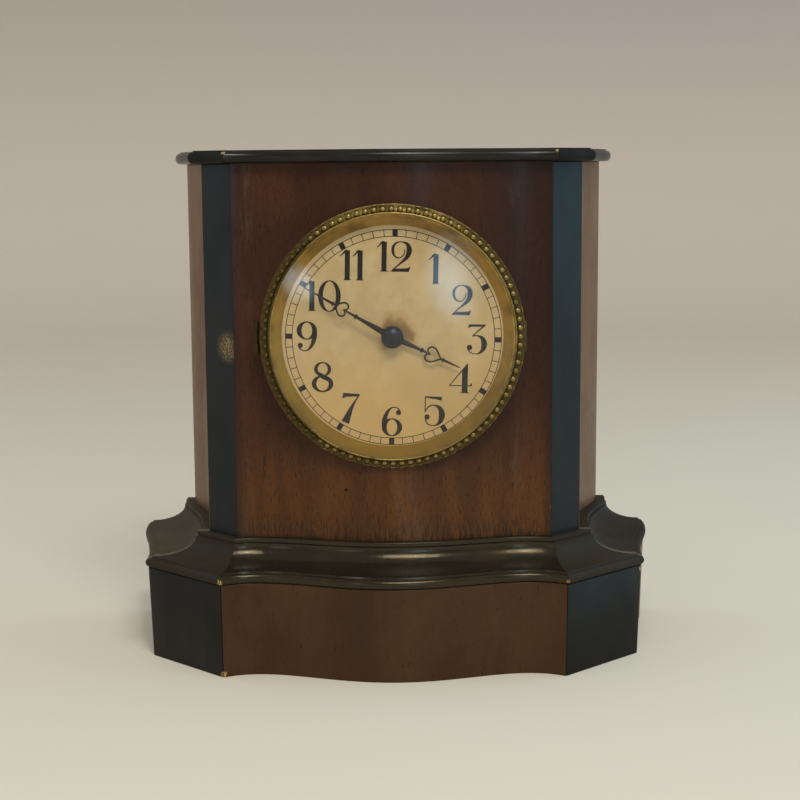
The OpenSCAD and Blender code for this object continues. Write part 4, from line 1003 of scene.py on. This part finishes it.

# Ring inside the bezel: sheet brass spun to a shallow cone, matt gilt, now browned and spotted. Its lower
# part has painted shade, darker to offset the stronger light that falls there. It is pushed into the wall of
# the bezel, slopes down to the dial and hides its edge.
RING_HIGH, RING_LOW, RING_THICK = 4.4 * MM, -2.9 * MM, 0.8 * MM
SIGHT_R = 53.3 * MM
ring_brass, place = finish("gilt_ring", "aged_brass", Metallic=0.6, Specular_IOR_Level=0.2)
skin = use(tarnish, place, Scale=60.0, Amount=0.66)
flat = place - (0, 0, DIAL_Z)
out = (flat * (1, 0, 1)).work("LENGTH")
tone = layered((0.425, 0.255, 0.038), (skin["Mask"], (0.205, 0.110, 0.009)),
               # Painted shade: darker low down, against the stronger light there.
               (flat.axis("Z").spread(0.02, -0.055, 0.0, 0.82), (0.225, 0.128, 0.002)),
               (out.spread(0.0560, 0.0590, 0.0, 0.45) * noise(place, 120.0).spread(0.3, 0.7),
                (0.090, 0.052, 0.014)),
               (skin["Spots"] * 0.55, (0.10, 0.055, 0.02)))
dents = noise(place, 160.0, 5.0, 0.6) + noise(out, 900.0, 2.0) * 0.5
wire_up(ring_brass, Base_Color=tone, Roughness=skin["Mask"].spread(0.0, 1.0, 0.38, 0.55),
        Normal=bump(dents, 0.22, 0.0002))
ring_profile = [(BEZEL_IN - 0.05 * MM, 0.2 * MM), (BEZEL_IN - 0.05 * MM, RING_HIGH),
                (BEZEL_IN - RING_THICK, RING_HIGH), (SIGHT_R + 0.15 * MM, RING_LOW + 0.25 * MM),
                (SIGHT_R, RING_LOW + 0.1 * MM), (SIGHT_R + 0.1 * MM, RING_LOW),
                (SIGHT_R + RING_THICK, RING_LOW)]
piece("reflector_ring_gilt", facing(turned(ring_profile, 200), BEZEL_BACK), ring_brass, "bezel",
      "reflector_ring")

# Glass: a thick convex crystal, domed well clear of the hands, held behind the lip of the bezel.
# Light from the lamps and from the dial goes straight through it, so that what lies behind is lit evenly.
GLASS_R, GLASS_RISE, GLASS_THICK, GLASS_STEPS = BEZEL_IN - 0.1 * MM, 8 * MM, 1.3 * MM, 28
GLASS_SPHERE = (GLASS_R ** 2 + GLASS_RISE ** 2) / (2 * GLASS_RISE)
crystal, place = finish("glass", "glass", Transmission_Weight=1.0, Roughness=0.0, IOR=1.36,
                        Base_Color=(0.98, 0.99, 0.97))
wire_up(crystal, Normal=bump(noise(place, 14.0, 2.0), 0.05, 0.002))
nodes = crystal.node_tree.nodes
is_ray = {socket.name: Wire(socket) for socket in nodes.new("ShaderNodeLightPath").outputs}
straight = is_ray["Is Shadow Ray"].work("MAXIMUM", is_ray["Is Diffuse Ray"]).work(
    "MAXIMUM", is_ray["Is Glossy Ray"].work("SUBTRACT", is_ray["Is Transmission Ray"], clamp=True))
both = add_node(crystal.node_tree, "ShaderNodeMixShader", {
    0: straight, 1: Wire(nodes["Principled BSDF"].outputs[0]),
    2: wire_from(crystal.node_tree, "ShaderNodeBsdfTransparent")})
crystal.node_tree.links.new(both.outputs[0], nodes["Material Output"].inputs["Surface"])


def dome(rise):
    """Height of a spherical cap at each of the steps from its edge to its crown."""
    radii = [GLASS_R * (1 - i / GLASS_STEPS) for i in range(GLASS_STEPS + 1)]
    return [(r, rise - GLASS_SPHERE + math.sqrt(GLASS_SPHERE ** 2 - r ** 2)) for r in radii]


glass_profile = dome(GLASS_RISE + GLASS_THICK) + [(r, max(h, 0)) for r, h in dome(GLASS_RISE)[::-1]]
piece("glass_crystal", facing(turned(glass_profile, 128, 30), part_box("glass")[1].y), crystal, "bezel",
      "glass")

# Hands: cut from blued steel sheet gone nearly black, with an open heart between a knob and a small lozenge.
# A domed nut holds the minute hand and hides both collets.
HOUR, MINUTE = 3, 50
HAND_THICK = 0.7 * MM
hand_steel = metal("blued_hands", "blued_steel", (0.017, 0.014, 0.013), (0.012, 0.0080, 0.0060), 0.34, 0.5,
                   0.3, 220.0, metallic=0.8, grain=0.05)
cap_steel = metal("blued_cap", "blued_steel", (0.012, 0.019, 0.032), (0.008, 0.010, 0.015), 0.34, 0.4, 0.0,
                  metallic=0.8, grain=0.0)


def heart(wide, tall, steps=40):
    """A heart's outline, drawn in one from its notch to its point, with no kink between halves."""
    return [(wide * math.sin(a) ** 3,
             tall * 0.5 - tall / 2 * (13 * math.cos(a) - 5 * math.cos(2 * a) - 2 * math.cos(3 * a)
                                      - math.cos(4 * a) + 2.5) / 14.5)
            for a in (math.tau * i / steps for i in range(steps))]


def band(form, line, half, low, high):
    """A closed loop of bar that follows a closed line, half as wide on each side of it."""
    rims = []
    for i, p in enumerate(line):
        along = (Vector(line[(i + 1) % len(line)]) - Vector(line[i - 1])).normalized()
        across = Vector((-along.y, along.x)) * half
        rims.append([form.verts.new((p[0] + s * across.x, p[1] + s * across.y, z))
                     for s, z in ((-1, low), (1, low), (1, high), (-1, high))])
    cover(form, rims + rims[:1])


def hand(length, knob, heart_at, heart_wide, heart_tall, boss, turn, depth):
    """A hand that points to twelve, then is turned to its hour. Sizes in millimetres."""
    parts = []

    def cut(outline):
        form = bmesh.new()
        slab(form, [(x * MM, y * MM) for x, y in outline], 0, HAND_THICK)
        parts.append(eased(mesh_from(form), 0.14 * MM))

    cut(disc(0, 0, boss, 64))
    cut([(-1.75, 0), (1.75, 0), (1.1, knob * 0.6), (0.62, knob), (0.42, heart_at + 0.25),
         (-0.42, heart_at + 0.25), (-0.62, knob), (-1.1, knob * 0.6)])
    cut([(1.25 * math.cos(a), knob + 0.85 * math.sin(a)) for a in (math.tau * i / 24 for i in range(24))])
    form = bmesh.new()
    line = [(x * MM, (y + heart_at) * MM) for x, y in heart(heart_wide - 0.4, heart_tall)]
    band(form, line, 0.42 * MM, 0, HAND_THICK)
    parts.append(eased(mesh_from(form), 0.12 * MM))
    tip = heart_at + heart_tall
    cut([(-1.5, tip + 0.7), (-0.55, tip + 0.15), (0, tip - 0.9), (0.55, tip + 0.15), (1.5, tip + 0.7),
         (0.5, tip + 1.2), (0, tip + 2.1), (-0.5, tip + 1.2)])
    cut([(-0.55, tip), (0.55, tip), (0.62, tip + 2.4), (0.22, length), (-0.22, length), (-0.62, tip + 2.4)])
    mesh = joined(parts)
    mesh.transform(Matrix.Rotation(math.radians(-turn), 4, "Z"))
    return facing(mesh, depth)


hour_low, minute_low = (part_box(n)[1].y for n in ("hour_hand", "minute_hand"))
piece("hour_hand_blued", hand(36, 15.6, 18.2, 4.1, 8.2, 5.3, 30 * HOUR + MINUTE / 2, hour_low), hand_steel,
      "hour", "hour_hand")
piece("minute_hand_blued", hand(49, 20.2, 25.4, 3.8, 6.8, 4.6, 6 * MINUTE, minute_low), hand_steel, "centre",
      "minute_hand")
nut_low, nut_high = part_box("hand_nut")
NUT_R, NUT_HIGH = nut_high.x, nut_high.y - nut_low.y
NUT_SPHERE = (NUT_R ** 2 + NUT_HIGH ** 2) / (2 * NUT_HIGH)
nut_profile = [(0, 0), (NUT_R - 0.15 * MM, 0)] + [
    (r, math.sqrt(NUT_SPHERE ** 2 - r * r) - NUT_SPHERE + NUT_HIGH)
    for r in (NUT_R * math.cos(math.pi / 2 * i / 20) for i in range(1, 20))] + [(0, NUT_HIGH)]
piece("hand_nut_dome", facing(turned(nut_profile, 64), nut_high.y), cap_steel, "centre", "hand_nut")

# Movement: two round brass plates on four pillars, with the going barrel and a train of brass wheels and
# steel pinions between them, to a pin-pallet escapement and a balance behind the back plate.
plate_brass = metal("plate_brass", "brass", (0.66, 0.46, 0.18), (0.34, 0.22, 0.08), 0.26, 0.35, 0.35, 45.0,
                    grain=0.35)
wheel_brass = metal("wheel_brass", "brass", (0.72, 0.52, 0.22), (0.38, 0.25, 0.09), 0.22, 0.3, 0.25, 120.0)
bright_steel = metal("bright_steel", "steel", (0.52, 0.51, 0.49), (0.22, 0.19, 0.16), 0.24, 0.35, 0.4, 120.0)
blue_steel = metal("blue_steel", "blued_steel", (0.045, 0.070, 0.16), (0.030, 0.030, 0.045), 0.22, 0.4, 0.2,
                   150.0)
MOVEMENT = [
    ("front_plate", plate_brass, "case", 0.15), ("back_plate", plate_brass, "case", 0.2),
    ("plate_screws", blue_steel, "case", 0.12), ("balance_cock", plate_brass, "case", 0.15),
    ("centre_arbor", bright_steel, "centre", 0.05), ("centre_wheel", wheel_brass, "centre", 0.06),
    ("setting_knob", case_brass, "centre", 0.08), ("cannon_pinion", bright_steel, "centre", 0.05),
    ("minute_wheel", wheel_brass, "minute_wheel", 0.05), ("hour_wheel", wheel_brass, "hour", 0.05),
    ("barrel", wheel_brass, "barrel", 0.08), ("winding_arbor", bright_steel, "winding", 0.08),
    ("winding_key", case_brass, "winding", 0.2), ("click", bright_steel, "click", 0.08),
    ("click_spring", blue_steel, "case", 0.05), ("third_wheel", wheel_brass, "third", 0.05),
    ("fourth_wheel", wheel_brass, "fourth", 0.05), ("escape_wheel", wheel_brass, "escape", 0.04),
    ("pallet_lever", bright_steel, "lever", 0.05), ("balance_wheel", wheel_brass, "balance", 0.08),
    ("regulator", bright_steel, "regulator", 0.08)]
for name, material, body, width in MOVEMENT:
    finished(name, material, body, width * MM)
wear_finish("mainspring", bright_steel)
wear_finish("hairspring", blue_steel)

# Floor and backdrop: one pale sweep of paper all round the table, which turns up into a low wall.
# Soft light comes from a broad panel above the camera, with a window each side and a dim sky over all.
FLOOR_R, WALL_R, WALL_HIGH, AROUND = 1.7, 2.6, 1.3, 96
form = bmesh.new()
sweep = [(0.001, 0), (FLOOR_R, 0)] + arc((FLOOR_R, WALL_R - FLOOR_R), (WALL_R - FLOOR_R,) * 2, -84, 0, 14)
sweep.append((WALL_R, WALL_HIGH))
turns = [math.tau * i / AROUND for i in range(AROUND)]
rings = [[form.verts.new((r * math.cos(a), r * math.sin(a), z)) for a in turns] for r, z in sweep]
cover(form, rings)
form.faces.new(rings[0])
mesh = bpy.data.meshes.new("backdrop")
form.to_mesh(mesh)
form.free()
mesh.shade_smooth()
paper, place = finish("backdrop_paper", "", Roughness=0.85, Specular_IOR_Level=0.2)
# Painted light and shade: the paper is lighter away from the clock and darker up the wall, standing for how
# the light falls on it.
painted_shade_high = layered((0.630, 0.588, 0.535), (place.axis("X").spread(-0.7, 0.7), (0.625, 0.592, 0.585)))
wire_up(paper, Base_Color=layered(
    (0.74, 0.69, 0.58), (noise(place, 2.2, 3.0, 0.5), (0.79, 0.74, 0.63)),
    (place.work("LENGTH").spread(0.35, 2.2), (0.88, 0.81, 0.73)),
    (place.axis("Z").spread(0.10, 0.70), painted_shade_high)))
mesh.materials.append(paper)
backdrop = bpy.data.objects.new("backdrop", mesh)
scene.collection.objects.link(backdrop)


def panel_light(name, at, aim, size, radiance, colour, turn=0.0, soft=False):
    """A rectangular light, given by the brightness of its face. A soft one fades out towards its edge."""
    lamp = bpy.data.lights.new(name, "AREA")
    lamp.shape, lamp.size, lamp.size_y = "RECTANGLE", *size
    lamp.energy = radiance * math.pi * size[0] * size[1]
    lamp.color = colour
    made = bpy.data.objects.new(name, lamp)
    made.location = at
    made.rotation_euler = ((Vector(aim) - Vector(at)).to_track_quat("-Z", "Y").to_matrix()
                           @ Matrix.Rotation(math.radians(turn), 3, "Z")).to_euler()
    if soft:
        lamp.use_nodes = True
        face = wire_from(lamp.node_tree, "ShaderNodeNewGeometry", output="Parametric")
        across = ((face - (0.5, 0.5, 0)) * (1, 1, 0)).work("LENGTH")
        lamp.node_tree.links.new(across.spread(0.5, 0.05).socket,
                                 lamp.node_tree.nodes["Emission"].inputs["Strength"])
    made.visible_camera = False
    scene.collection.objects.link(made)


panel_light("light_over_camera", (0.30, -1.45, 1.85), (0, 0, 0.12), (1.1, 0.8), 8.8, (1.0, 0.93, 0.82))
panel_light("bulb_over_camera", (0.30, -1.42, 1.82), (0, 0, 0.12), (0.12, 0.12), 100.0, (1.0, 0.90, 0.74))
panel_light("window_right", (1.0, 0.05, 0.48), (0, 0.05, 0.24), (1.3, 0.86), 1.30, (0.24, 0.70, 1.0))
panel_light("window_left", (-1.1, 0.05, 0.68), (0, 0.05, 0.30), (1.3, 1.15), 0.60, (0.50, 0.78, 1.0))
panel_light("window_high_left", (-0.72, -1.50, 0.46), (0, -0.06, 0.166), (0.20, 0.42), 8.0, (0.60, 0.80, 1.0),
            turn=20, soft=True)
panel_light("window_front_right", (0.44, -1.60, 0.46), (0, -0.06, 0.166), (0.50, 0.90), 4.9,
            (0.42, 0.74, 1.0), turn=8, soft=True)
world = bpy.data.worlds.new("sky")
world.use_nodes = True
world.node_tree.nodes["Background"].inputs["Color"].default_value = (1.0, 0.95, 0.88, 1)
world.node_tree.nodes["Background"].inputs["Strength"].default_value = 0.38
scene.world = world
scene.view_settings.view_transform = "Standard"
